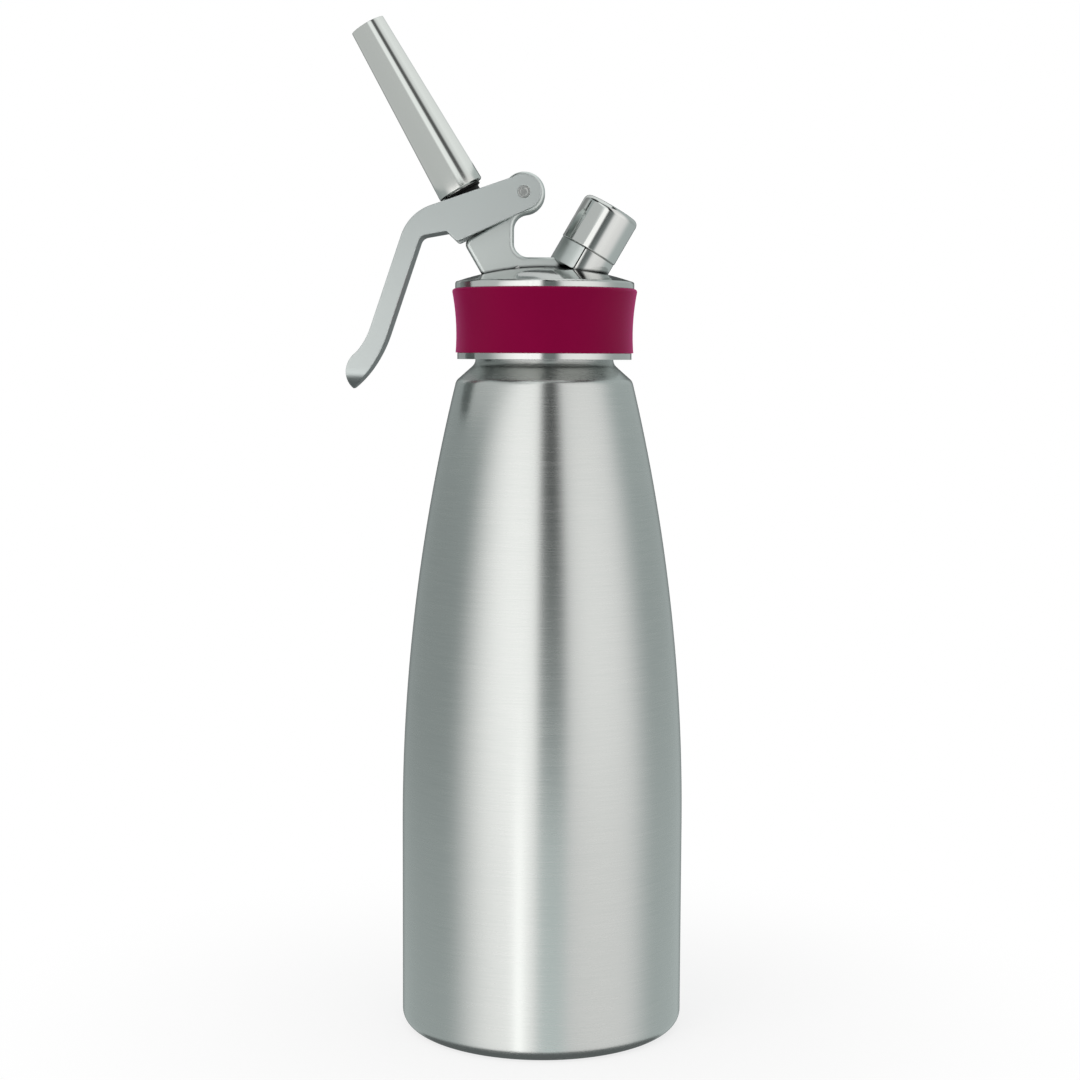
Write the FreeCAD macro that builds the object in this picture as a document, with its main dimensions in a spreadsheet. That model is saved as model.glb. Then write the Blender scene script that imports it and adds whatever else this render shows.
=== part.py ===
"""Whipped cream dispenser: steel bottle, cast head with a sprung lever valve, tip and charger port.

Millimetres. The origin is the centre of the bottle's resting face and +Z is up. The lever and the
tip are on the -X side, the charger port is on the +X side, and Y = 0 is the plane of symmetry.
"""

import FreeCAD, Part
import os
import re

import Sketcher

from FreeCAD import Placement, Rotation, Vector

os.makedirs("parts", exist_ok=True)

# Driving sizes: alias, value in millimetres or degrees, meaning
SIZES = (
    ("bottle_radius", 48.4, "Bottle, outside radius of the straight part"),
    ("bottle_wall", 1.0, "Bottle, wall thickness"),
    ("base_corner", 4.5, "Bottle, corner radius at the base"),
    ("straight_height", 70, "Bottle, top of the straight part"),
    ("taper_radius", 642, "Bottle, radius of the long taper's arc"),
    ("taper_rise", 152.5, "Bottle, height of the long taper"),
    ("shoulder_rise", 5.8, "Bottle, height of the conical shoulder"),
    ("shoulder_round", 3.2, "Bottle, rounding between taper and shoulder"),
    ("neck_radius", 23.5, "Bottle, outside radius of the neck"),
    ("neck_rise", 21.5, "Bottle, height of the neck"),
    ("gasket_thickness", 2.4, "Head gasket, thickness"),
    ("gasket_width", 3.2, "Head gasket, width of the ring"),
    ("thread_allowance", 1.3, "Room between neck and skirt for the threads"),
    ("skirt_length", 22.4, "Head, depth of the skirt below the roof"),
    ("lower_rim_height", 2.2, "Head, height of the rim under the sleeve"),
    ("lower_rim_ledge", 1.25, "Head, width of the ledge under the sleeve"),
    ("sleeve_seat_radius", 28.4, "Head, radius of the recess for the sleeve"),
    ("sleeve_length", 21.6, "Grip sleeve, length"),
    ("sleeve_foot_wall", 1.85, "Grip sleeve, wall at the bottom"),
    ("sleeve_top_wall", 3.0, "Grip sleeve, wall at the top"),
    ("sleeve_waist_arc", 77, "Grip sleeve, radius of the waist's arc"),
    ("sleeve_round", 1.0, "Grip sleeve, rounding of the top edge"),
    ("upper_rim_ledge", 2.0, "Head, width of the ledge above the sleeve"),
    ("upper_rim_height", 2.5, "Head, height of the upper rim"),
    ("rim_round", 0.8, "Head, rounding of the upper rim"),
    ("dome_rise", 4.9, "Head, rise of the dome above the rim"),
    ("slab_thickness", 11.2, "Head, thickness of the pivot post"),
    ("slab_round", 1.4, "Head, rounding of the post's edges"),
    ("housing_round", 2.5, "Valve housing, rounding of its top corners"),
    ("bridge_height", 3.1, "Head, bridge above the top of the dome"),
    ("pivot_x", -7.08, "Lever pivot, distance from the bottle's axis"),
    ("pivot_rise", 33.4, "Lever pivot, height above the roof's underside"),
    ("eye_radius", 7.05, "Head, radius of the post's eye"),
    ("notch_radius", 4.95, "Head, radius of the notch behind the post"),
    ("notch_shift", 1.48, "Head, notch centre beyond the pivot"),
    ("pin_radius", 2.0, "Pivot pin, radius"),
    ("pin_proud", 0.2, "Pivot pin, how far each end stands out"),
    ("pin_dimple_radius", 1.2, "Pivot pin, radius of the dimple in each end"),
    ("pin_dimple_depth", 0.8, "Pivot pin, depth of the dimple"),
    ("fit_gap", 0.03, "Clearance of a fixed fit, on the radius"),
    ("running_gap", 0.06, "Clearance of a running fit, on the radius"),
    ("loose_gap", 0.3, "Clearance between moving parts that only pass"),
    ("stem_tilt", 30, "Valve axis, angle from upright towards -X"),
    ("stem_arm", 17.9, "Valve axis, distance from the lever pivot"),
    ("housing_half_width", 8.1, "Valve housing, half of its width"),
    ("housing_drop", 3.95, "Valve housing, top below the lever's contact"),
    ("stem_radius", 2.9, "Valve stem, radius"),
    ("stem_bore", 1.7, "Valve stem, radius of the channel"),
    ("flange_radius", 4.35, "Valve stem, radius of the flange"),
    ("flange_thickness", 1.6, "Valve stem, thickness of the flange"),
    ("cross_hole", 1.2, "Valve stem, radius of the cross holes"),
    ("cross_hole_rise", 2.64, "Valve stem, cross holes above the seal"),
    ("pocket_radius", 4.7, "Valve housing, radius of the spring pocket"),
    ("pocket_depth", 10.3, "Valve housing, depth of the spring pocket"),
    ("web_thickness", 6.0, "Valve housing, web under the spring"),
    ("gland_radius", 5.0, "Valve bore, radius below the web"),
    ("valve_reach", 32.5, "Valve seat face below the lever's contact"),
    ("valve_boss_radius", 7.0, "Head, radius of the boss round the valve seat"),
    ("bush_length", 3.4, "Guide bush, length"),
    ("seat_bore", 3.7, "Valve seat, radius of its bore"),
    ("poppet_radius", 5.4, "Poppet, radius"),
    ("poppet_thickness", 3.2, "Poppet, thickness"),
    ("poppet_seal_radius", 4.6, "Poppet seal, radius"),
    ("poppet_seal_thickness", 1.5, "Poppet seal, thickness"),
    ("spring_wire", 0.45, "Valve spring, radius of the wire"),
    ("spring_turns", 5, "Valve spring, number of turns"),
    ("spring_play", 0.12, "Valve spring, play under the stem's flange"),
    ("adapter_radius", 5.5, "Tip adapter, radius"),
    ("adapter_rim", 1.6, "Tip adapter, height of its rim under the tip"),
    ("tip_rise", 11.63, "Tip, bottom edge above the lever's contact"),
    ("tip_length", 63, "Tip, length"),
    ("tip_base_radius", 8.0, "Tip, outside radius at the bottom"),
    ("tip_end_radius", 6.0, "Tip, outside radius at the open end"),
    ("tip_socket_depth", 10, "Tip, depth of the socket for the adapter"),
    ("tip_throat", 3.6, "Tip, radius of the channel above the socket"),
    ("tip_mouth", 4.9, "Tip, radius of the channel at the open end"),
    ("tip_mouth_length", 8, "Tip, length of the even bore at the open end"),
    ("washer_thickness", 1.2, "Tip washer, thickness"),
    ("lever_eye", 5.8, "Lever, radius of the eyes round the pivot"),
    ("cheek_thickness", 3.9, "Lever, thickness of each cheek"),
    ("slot_gap", 0.4, "Lever, gap between cheek and post"),
    ("lever_top_angle", 19, "Lever, slope of the cheeks' upper edge"),
    ("lever_low_angle", 24.7, "Lever, slope of the cheeks' lower edge"),
    ("shoulder_reach", 38.8, "Lever, length of the upper edge to the shoulder corner"),
    ("shoulder_bend", 16, "Lever, rounding of the shoulder"),
    ("cheek_reach", 27.2, "Lever, length of the cheeks' lower edge"),
    ("handle_angle", 18.66, "Lever, slope of the handle from upright"),
    ("handle_length", 40.6, "Lever, straight length of the handle"),
    ("handle_thickness", 6.15, "Lever, thickness of the handle"),
    ("flare_reach", 6.0, "Lever, how far the end flares out"),
    ("flare_drop", 20.3, "Lever, height of the flared end"),
    ("flare_start_reach", 4.68, "Lever, flare where its bend turns over"),
    ("flare_start_drop", 8.02, "Lever, height of the flare's bend"),
    ("flare_bend", 22.7, "Lever, outer radius where the flare starts"),
    ("flare_inner", 44, "Lever, inner radius of the flare"),
    ("lip_round", 8.2, "Lever, radius of the rounded lip"),
    ("end_corner", 7, "Lever, corner radius of the end seen from the front"),
    ("crossbar_gap", 3.8, "Lever, crossbar's distance from the adapter"),
    ("bar_rise", 2.0, "Lever, crossbar's foot above the contact"),
    ("armpit_drop", 5.97, "Lever, armpit's distance from the shoulder along the handle"),
    ("lug_radius", 1.3, "Lever, radius of the lugs that press the stem"),
    ("lug_gap", 0.15, "Lever, play of the lugs in the stem's groove"),
    ("port_x", 14.56, "Charger port, centre of its face from the bottle's axis"),
    ("port_rise", 14.2, "Charger port, face above the roof's underside"),
    ("port_tilt", 30, "Charger port, angle from upright towards +X"),
    ("port_boss_radius", 9.9, "Charger port, radius of the boss"),
    ("stud_radius", 8.6, "Charger port, radius of the stud inside the cap"),
    ("stud_height", 13.0, "Charger port, height of the stud"),
    ("charger_socket", 5.6, "Charger port, radius of the socket for the charger"),
    ("charger_depth", 12.0, "Charger port, depth of that socket"),
    ("carrier_radius", 4.2, "Needle carrier, radius"),
    ("carrier_length", 9.0, "Needle carrier, length"),
    ("charger_gasket_height", 2.0, "Charger gasket, thickness"),
    ("needle_radius", 1.1, "Piercing needle, radius"),
    ("needle_bore", 0.45, "Piercing needle, radius of its channel"),
    ("needle_reach", 4.6, "Piercing needle, height above the carrier"),
    ("inlet_radius", 5.0, "Inlet valve, radius of its bore"),
    ("inlet_step", 2.0, "Head, wall between the carrier and the inlet valve"),
    ("inlet_boss_length", 7.6, "Head, depth of the bore for the inlet valve"),
    ("inlet_boss_wall", 1.5, "Head, wall round the inlet valve"),
    ("inlet_flange", 1.3, "Inlet valve, thickness of its flange"),
    ("inlet_nose", 4.2, "Inlet valve, length of its nose"),
    ("cap_radius", 10.1, "Port cap, radius"),
    ("cap_length", 16.8, "Port cap, length"),
    ("cap_round", 2.0, "Port cap, rounding of the top edge"),
    ("cap_seat_gap", 0.1, "Port cap, gap above the boss"),
)

# Sizes that follow from the driving ones, each a formula of them or of the lines above it
WORKED_OUT = {
    "shoulder_height": "straight_height + taper_rise",
    "shoulder_radius": "bottle_radius - taper_radius + sqrt(taper_radius^2 - taper_rise^2)",
    "neck_foot": "shoulder_height + shoulder_rise",
    "rim_height": "neck_foot + neck_rise",
    "roof": "rim_height + gasket_thickness",
    "skirt_radius": "neck_radius + thread_allowance",
    "lower_rim_radius": "sleeve_seat_radius + lower_rim_ledge",
    "sleeve_foot_radius": "sleeve_seat_radius + sleeve_foot_wall",
    "sleeve_top_radius": "sleeve_seat_radius + sleeve_top_wall",
    "head_radius": "sleeve_seat_radius + upper_rim_ledge",
    "skirt_foot": "roof - skirt_length",
    "sleeve_foot": "skirt_foot + lower_rim_height",
    "sleeve_top": "sleeve_foot + sleeve_length",
    "rim_top": "sleeve_top + upper_rim_height",
    "dome_reach": "head_radius - rim_round",
    "dome_top": "rim_top + dome_rise",
    "dome_arc": "(dome_reach^2 + dome_rise^2) / (2 * dome_rise)",
    "bridge_top": "dome_top + bridge_height",
    "pivot_z": "roof + pivot_rise",
    "tilt_cos": "cos(stem_tilt)",
    "tilt_sin": "sin(stem_tilt)",
    "contact_x": "pivot_x - stem_arm * tilt_cos",
    "contact_z": "pivot_z - stem_arm * tilt_sin",
    "port_z": "roof + port_rise",
    "port_slope": "tan(port_tilt)",
    "notch_x": "pivot_x + notch_shift",
    "notch_sum": "eye_radius + notch_radius",
    "notch_fall": "sqrt(notch_sum^2 - notch_shift^2)",
    "notch_high": "pivot_z - notch_fall",
    "notch_low": "bridge_top + notch_radius",
    "web_top": "-housing_drop - pocket_depth",
    "web_foot": "web_top - web_thickness",
    "seal_radius": "(gland_radius - stem_radius) / 2 - fit_gap",
    "bush_foot": "web_foot - bush_length",
    "valve_seat_top": "bush_foot - 2 * seal_radius - 2 * fit_gap",
    "slot_width": "slab_thickness + 2 * slot_gap",
    "lever_width": "slot_width + 2 * cheek_thickness",
    "groove_height": "2 * lug_radius + 2 * lug_gap",
    "adapter_top": "tip_rise + tip_socket_depth - washer_thickness",
    "stem_top": "tip_rise - adapter_rim",
    "stem_foot": "-valve_reach - poppet_seal_thickness - poppet_thickness / 2",
    "tip_end": "tip_rise + tip_length",
    "stud_bore_foot": "stud_height - charger_depth",
    "carrier_foot": "stud_bore_foot - carrier_length",
    "inlet_top": "carrier_foot - inlet_step",
    "inlet_foot": "inlet_top - inlet_boss_length",
}

SYMMETRIC = "Symmetric"
CENTRE_SIDE = {"left": 1, "right": -1}

document = FreeCAD.newDocument("WhippedCreamDispenser")
sheet = document.addObject("Spreadsheet::Sheet", "Sizes")
for row, (alias, value, meaning) in enumerate(SIZES, start=1):
    sheet.set(f"A{row}", meaning)
    sheet.set(f"B{row}", str(value))
    sheet.setAlias(f"B{row}", alias)
document.recompute()

DRIVING = {alias for alias, value, meaning in SIZES}


def formula(text):
    """Write a formula of size names as one of spreadsheet cells."""
    def cell(match):
        word = match.group(0)
        if word in DRIVING:
            return f"Sizes.{word}"
        if word in WORKED_OUT:
            return f"({formula(WORKED_OUT[word])})"
        return word
    return re.sub(r"[a-z_]+", cell, text)


def size(text):
    """Value of a formula of size names, in millimetres or degrees."""
    result = sheet.evalExpression(formula(text))
    return float(getattr(result, "Value", result))


def bind(target, path, text):
    """Tie one property of an object to a formula."""
    target.setExpression(path, formula(text))


def make_body(label, origin=None, tilt=None):
    """A body named as its node. Origin is an (x, z) pair of formulas, tilt turns +Z towards +X."""
    body = document.addObject("PartDesign::Body", label)
    body.Label = label
    if origin:
        body.Placement = Placement(Vector(size(origin[0]), 0, size(origin[1])),
                                   Rotation(Vector(0, 1, 0), size(tilt)))
        bind(body, "Placement.Base.x", origin[0])
        bind(body, "Placement.Base.z", origin[1])
        bind(body, "Placement.Rotation.Angle", tilt)
    return body


def make_sketch(body, name, plane="XZ_Plane", origin=None, turn=None):
    """A sketch on one of the body's own planes, shifted to origin and turned about it."""
    sketch = body.newObject("Sketcher::SketchObject", name)
    support = next(part for part in body.Origin.OriginFeatures if part.Role == plane)
    sketch.AttachmentSupport = [(support, "")]
    sketch.MapMode = "FlatFace"
    if origin:
        sketch.AttachmentOffset = Placement(Vector(size(origin[0]), size(origin[1]), 0),
                                            Rotation(Vector(0, 0, 1), size(turn)))
        bind(sketch, "AttachmentOffset.Base.x", origin[0])
        bind(sketch, "AttachmentOffset.Base.y", origin[1])
        bind(sketch, "AttachmentOffset.Rotation.Angle", turn)
    return sketch


def fix(sketch, kind, index, point, name, text):
    """Hold one coordinate of a sketch point at a formula's value."""
    on_axis = {"DistanceX": -2, "DistanceY": -1}[kind]
    if text == "0":
        sketch.addConstraint(Sketcher.Constraint("PointOnObject", index, point, on_axis))
        return
    added = sketch.addConstraint(Sketcher.Constraint(kind, -1, 1, index, point, size(text)))
    sketch.renameConstraint(added, name)
    bind(sketch, f"Constraints.{name}", text)


def arc_between(start, end, radius, side):
    """The short arc from start to end with its centre on the left or the right of the way."""
    chord = end - start
    middle = (start + end) * 0.5
    height = max(radius ** 2 - (chord.Length / 2) ** 2, 0) ** 0.5
    normal = Vector(-chord.y, chord.x, 0).normalize() * CENTRE_SIDE[side]
    centre = middle + normal * height
    circle = Part.Circle(centre, Vector(0, 0, 1), radius)
    first, last = (start, end) if side == "left" else (end, start)
    return Part.ArcOfCircle(circle, circle.parameter(first), circle.parameter(last))


def draw_outline(sketch, corners):
    """A closed outline. A corner is (x, y), or (x, y, radius, side) where an arc follows it."""
    points = [Vector(size(corner[0]), size(corner[1]), 0) for corner in corners]
    ends = []
    for number, corner in enumerate(corners):
        start = points[number]
        end = points[(number + 1) % len(points)]
        if len(corner) == 2:
            index = sketch.addGeometry(Part.LineSegment(start, end))
            ends.append((index, 1, 2))
            continue
        index = sketch.addGeometry(arc_between(start, end, size(corner[2]), corner[3]))
        ends.append((index, 1, 2) if corner[3] == "left" else (index, 2, 1))
    for number, corner in enumerate(corners):
        index, first, last = ends[number]
        following, joint, unused = ends[(number + 1) % len(ends)]
        sketch.addConstraint(Sketcher.Constraint("Coincident", index, last, following, joint))
        fix(sketch, "DistanceX", index, first, f"across{number}", corner[0])
        fix(sketch, "DistanceY", index, first, f"along{number}", corner[1])
        if len(corner) > 2:
            added = sketch.addConstraint(Sketcher.Constraint("Radius", index, size(corner[2])))
            sketch.renameConstraint(added, f"radius{number}")
            bind(sketch, f"Constraints.radius{number}", corner[2])
    return sketch


def draw_circle(sketch, across, along, radius):
    """A circle at a point given by formulas."""
    centre = Vector(size(across), size(along), 0)
    index = sketch.addGeometry(Part.Circle(centre, Vector(0, 0, 1), size(radius)))
    fix(sketch, "DistanceX", index, 3, "across", across)
    fix(sketch, "DistanceY", index, 3, "along", along)
    added = sketch.addConstraint(Sketcher.Constraint("Radius", index, size(radius)))
    sketch.renameConstraint(added, "radius")
    bind(sketch, "Constraints.radius", radius)
    return sketch


def turned(body, name, sketch, cut=False):
    """Turn a half profile about the sketch's upright axis, added or cut."""
    kind = "PartDesign::Groove" if cut else "PartDesign::Revolution"
    feature = body.newObject(kind, name)
    feature.Profile = sketch
    feature.ReferenceAxis = (sketch, ["V_Axis"])
    feature.Angle = 360
    document.recompute()
    return feature


def turned_body(label, corners, origin=None, tilt=None):
    """A body that is one turned profile."""
    body = make_body(label, origin, tilt)
    profile = draw_outline(make_sketch(body, f"{label}_profile"), corners)
    turned(body, f"{label}_turned", profile)
    return body


def thick(body, name, sketch, length, cut=False):
    """Pad or pocket a sketch evenly to both sides of its plane."""
    feature = body.newObject("PartDesign::Pocket" if cut else "PartDesign::Pad", name)
    feature.Profile = sketch
    feature.SideType = SYMMETRIC
    feature.Length = size(length)
    bind(feature, "Length", length)
    document.recompute()
    return feature


def rounded(body, name, feature, edges, radius):
    """Round the named edges of a feature."""
    fillet = body.newObject("PartDesign::Fillet", name)
    fillet.Base = (feature, edges)
    fillet.Radius = size(radius)
    bind(fillet, "Radius", radius)
    document.recompute()
    return fillet


def edges_where(feature, test):
    """Names of the edges whose middle point and shape pass the test."""
    names = []
    for number, edge in enumerate(feature.Shape.Edges, start=1):
        middle = edge.valueAt((edge.FirstParameter + edge.LastParameter) / 2)
        if test(edge, middle):
            names.append(f"Edge{number}")
    return names


def circles_at(feature, radius, height):
    """Names of the circular edges about the upright axis with this radius at this height."""
    near = 0.01

    def matches(edge, middle):
        reach = (middle.x ** 2 + middle.y ** 2) ** 0.5
        return abs(reach - radius) < near and abs(middle.z - height) < near
    return edges_where(feature, matches)


def edge_across_at(feature, place):
    """Names of the edges that run along Y through a place (x, z) of formulas."""
    near = 0.05
    x, z = size(place[0]), size(place[1])

    def matches(edge, middle):
        ends = edge.Vertexes
        level = len(ends) == 2 and abs(ends[0].X - ends[1].X) + abs(ends[0].Z - ends[1].Z) < near
        return level and abs(middle.x - x) + abs(middle.z - z) < near
    return edges_where(feature, matches)


# Places on the valve axis and the charger axis, shared by everything that lies on them
CONTACT = ("contact_x", "contact_z")
VALVE_TURN = "stem_tilt"
VALVE_TILT = "-stem_tilt"
PORT = ("port_x", "port_z")
PORT_TURN = "-port_tilt"
PORT_TILT = "port_tilt"


def handle_point(along, inward):
    """A point on the handle: distance along its outer face, and depth from that face."""
    x = (f"pivot_x - lever_eye * sin(lever_top_angle) - shoulder_reach * cos(lever_top_angle)"
         f" - ({along}) * sin(handle_angle) + ({inward}) * cos(handle_angle)")
    z = (f"pivot_z + lever_eye * cos(lever_top_angle) - shoulder_reach * sin(lever_top_angle)"
         f" - ({along}) * cos(handle_angle) - ({inward}) * sin(handle_angle)")
    return x, z


def valve_point(across, along):
    """A point in the plane of symmetry: distance across and along the valve axis."""
    return (f"contact_x + ({across}) * tilt_cos - ({along}) * tilt_sin",
            f"contact_z + ({across}) * tilt_sin + ({along}) * tilt_cos")


def build_bottle():
    """Drawn steel bottle: straight wall, long arc taper, conical shoulder and neck, one open shell."""
    body = make_body("bottle")
    profile = draw_outline(make_sketch(body, "bottle_profile"), [
        ("0", "0"),
        ("bottle_radius - base_corner", "0", "base_corner", "left"),
        ("bottle_radius", "base_corner"),
        ("bottle_radius", "straight_height", "taper_radius", "left"),
        ("shoulder_radius", "shoulder_height"),
        ("neck_radius", "neck_foot"),
        ("neck_radius", "rim_height"),
        ("0", "rim_height"),
    ])
    blank = turned(body, "bottle_turned", profile)
    edges = circles_at(blank, size("shoulder_radius"), size("shoulder_height"))
    edges += circles_at(blank, size("neck_radius"), size("neck_foot"))
    blank = rounded(body, "bottle_shoulder_round", blank, edges, "shoulder_round")
    top = max(range(len(blank.Shape.Faces)), key=lambda n: blank.Shape.Faces[n].CenterOfMass.z)
    shell = body.newObject("PartDesign::Thickness", "bottle_shell")
    shell.Base = (blank, [f"Face{top + 1}"])
    shell.Reversed = True
    shell.Value = size("bottle_wall")
    bind(shell, "Value", "bottle_wall")
    document.recompute()
    return body


def build_head_gasket():
    """Flat ring between the bottle's rim and the head's roof."""
    outer = "skirt_radius - loose_gap"
    return turned_body("head_gasket", [
        (f"{outer} - gasket_width", "rim_height"),
        (outer, "rim_height"),
        (outer, "roof"),
        (f"{outer} - gasket_width", "roof"),
    ])


def build_head_cap():
    """Cast head: post and valve housing in one slab, skirt and dome, charger stud, and all bores."""
    body = make_body("head_cap")
    housing_corner = valve_point("-housing_half_width", "-housing_drop")
    post_foot = valve_point("stem_arm - eye_radius", "-housing_drop")
    slab = thick(body, "post_slab", draw_outline(make_sketch(body, "post_outline"), [
        housing_corner,
        ("contact_x - housing_half_width * tilt_cos + (contact_z - housing_half_width * tilt_sin"
         " - roof - dome_rise / 2) * tilt_sin / tilt_cos", "roof + dome_rise / 2"),
        ("port_x - (port_rise - dome_rise / 2) * port_slope", "roof + dome_rise / 2"),
        ("port_x - (port_z - bridge_top) * port_slope", "bridge_top"),
        ("notch_x", "bridge_top", "notch_radius", "right"),
        ("notch_x - notch_radius", "notch_low"),
        ("notch_x - notch_radius", "notch_high", "notch_radius", "right"),
        ("pivot_x + eye_radius * notch_shift / notch_sum",
         "pivot_z - eye_radius * notch_fall / notch_sum", "eye_radius", "left"),
        ("pivot_x + eye_radius", "pivot_z", "eye_radius", "left"),
        ("pivot_x", "pivot_z + eye_radius", "eye_radius", "left"),
        ("pivot_x - eye_radius * tilt_cos", "pivot_z - eye_radius * tilt_sin"),
        post_foot,
    ]), "slab_thickness")
    slab = rounded(body, "housing_corners", slab, [
        *edge_across_at(slab, housing_corner), *edge_across_at(slab, post_foot)], "housing_round")
    half = size("slab_thickness") / 2
    hidden = size("bridge_top - running_gap")

    def shows(edge, middle):
        flat = all(abs(abs(vertex.Y) - half) < 0.01 for vertex in edge.Vertexes)
        outside = middle.z > hidden or middle.x < size("notch_x - notch_radius / 2")
        above = middle.z > size("roof + dome_rise")
        return flat and abs(abs(middle.y) - half) < 0.01 and outside and above
    rounded(body, "post_edges", slab, edges_where(slab, shows), "slab_round")

    turned(body, "skirt_and_dome", draw_outline(make_sketch(body, "skirt_profile"), [
        ("0", "roof"),
        ("skirt_radius", "roof"),
        ("skirt_radius", "skirt_foot"),
        ("lower_rim_radius", "skirt_foot"),
        ("lower_rim_radius", "sleeve_foot"),
        ("sleeve_seat_radius", "sleeve_foot"),
        ("sleeve_seat_radius", "sleeve_top"),
        ("head_radius", "sleeve_top"),
        ("head_radius", "rim_top - rim_round", "rim_round", "left"),
        ("dome_reach", "rim_top", "dome_arc", "left"),
        ("0", "dome_top"),
    ]))
    turned(body, "charger_boss", draw_outline(
        make_sketch(body, "boss_profile", origin=PORT, turn=PORT_TURN), [
            ("0", "inlet_foot"),
            ("inlet_radius + inlet_boss_wall", "inlet_foot"),
            ("inlet_radius + inlet_boss_wall", "inlet_top"),
            ("port_boss_radius", "inlet_top + inlet_step"),
            ("port_boss_radius", "0"),
            ("stud_radius", "0"),
            ("stud_radius", "stud_height"),
            ("0", "stud_height"),
        ]))
    turned(body, "valve_boss", draw_outline(
        make_sketch(body, "valve_boss_profile", origin=CONTACT, turn=VALVE_TURN), [
            ("0", "-valve_reach"),
            ("valve_boss_radius", "-valve_reach"),
            ("valve_boss_radius", "web_foot"),
            ("0", "web_foot"),
        ]))
    turned(body, "valve_bore", draw_outline(
        make_sketch(body, "valve_bore_profile", origin=CONTACT, turn=VALVE_TURN), [
            ("0", "-valve_reach - poppet_thickness"),
            ("gland_radius", "-valve_reach - poppet_thickness"),
            ("gland_radius", "web_foot"),
            ("stem_radius + loose_gap", "web_foot"),
            ("stem_radius + loose_gap", "web_top"),
            ("pocket_radius", "web_top"),
            ("pocket_radius", "housing_drop"),
            ("0", "housing_drop"),
        ]), cut=True)
    turned(body, "charger_bore", draw_outline(
        make_sketch(body, "charger_bore_profile", origin=PORT, turn=PORT_TURN), [
            ("0", "inlet_foot - inlet_step"),
            ("inlet_radius", "inlet_foot - inlet_step"),
            ("inlet_radius", "inlet_top"),
            ("needle_radius + loose_gap", "inlet_top"),
            ("needle_radius + loose_gap", "carrier_foot"),
            ("carrier_radius", "carrier_foot"),
            ("carrier_radius", "stud_bore_foot"),
            ("charger_socket", "stud_bore_foot"),
            ("charger_socket", "stud_height + inlet_step"),
            ("0", "stud_height + inlet_step"),
        ]), cut=True)
    thick(body, "pivot_hole", draw_circle(
        make_sketch(body, "pivot_circle"), "pivot_x", "pivot_z", "pin_radius + fit_gap"),
        "lever_width", cut=True)
    return body


def build_grip_sleeve():
    """Soft sleeve with a drawn-in waist and a rounded upper edge."""
    return turned_body("grip_sleeve", [
        ("sleeve_seat_radius + fit_gap", "sleeve_foot"),
        ("sleeve_foot_radius", "sleeve_foot", "sleeve_waist_arc", "right"),
        ("sleeve_top_radius", "sleeve_top - sleeve_round", "sleeve_round", "left"),
        ("sleeve_top_radius - sleeve_round", "sleeve_top"),
        ("sleeve_seat_radius + fit_gap", "sleeve_top"),
    ])


def build_pivot_pin():
    """Pin across the fork, its ends a little proud and dimpled, made of simple cylinders."""
    long_pin = document.addObject("Part::Cylinder", "pin_rod")
    bind(long_pin, "Radius", "pin_radius")
    bind(long_pin, "Height", "lever_width + 2 * pin_proud")
    tools = []
    for name, start in (("pin_dimple_front", "0"),
                        ("pin_dimple_back", "lever_width + 2 * pin_proud - pin_dimple_depth")):
        dimple = document.addObject("Part::Cylinder", name)
        bind(dimple, "Radius", "pin_dimple_radius")
        bind(dimple, "Height", "pin_dimple_depth")
        bind(dimple, "Placement.Base.z", start)
        tools.append(dimple)
    dimples = document.addObject("Part::MultiFuse", "pin_dimples")
    dimples.Shapes = tools
    pin = document.addObject("Part::Cut", "pivot_pin")
    pin.Base = long_pin
    pin.Tool = dimples
    pin.Label = "pivot_pin"
    pin.Placement = Placement(Vector(size("pivot_x"), size("lever_width / 2 + pin_proud"),
                                     size("pivot_z")), Rotation(Vector(1, 0, 0), 90))
    bind(pin, "Placement.Base.x", "pivot_x")
    bind(pin, "Placement.Base.y", "lever_width / 2 + pin_proud")
    bind(pin, "Placement.Base.z", "pivot_z")
    return pin


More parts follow.
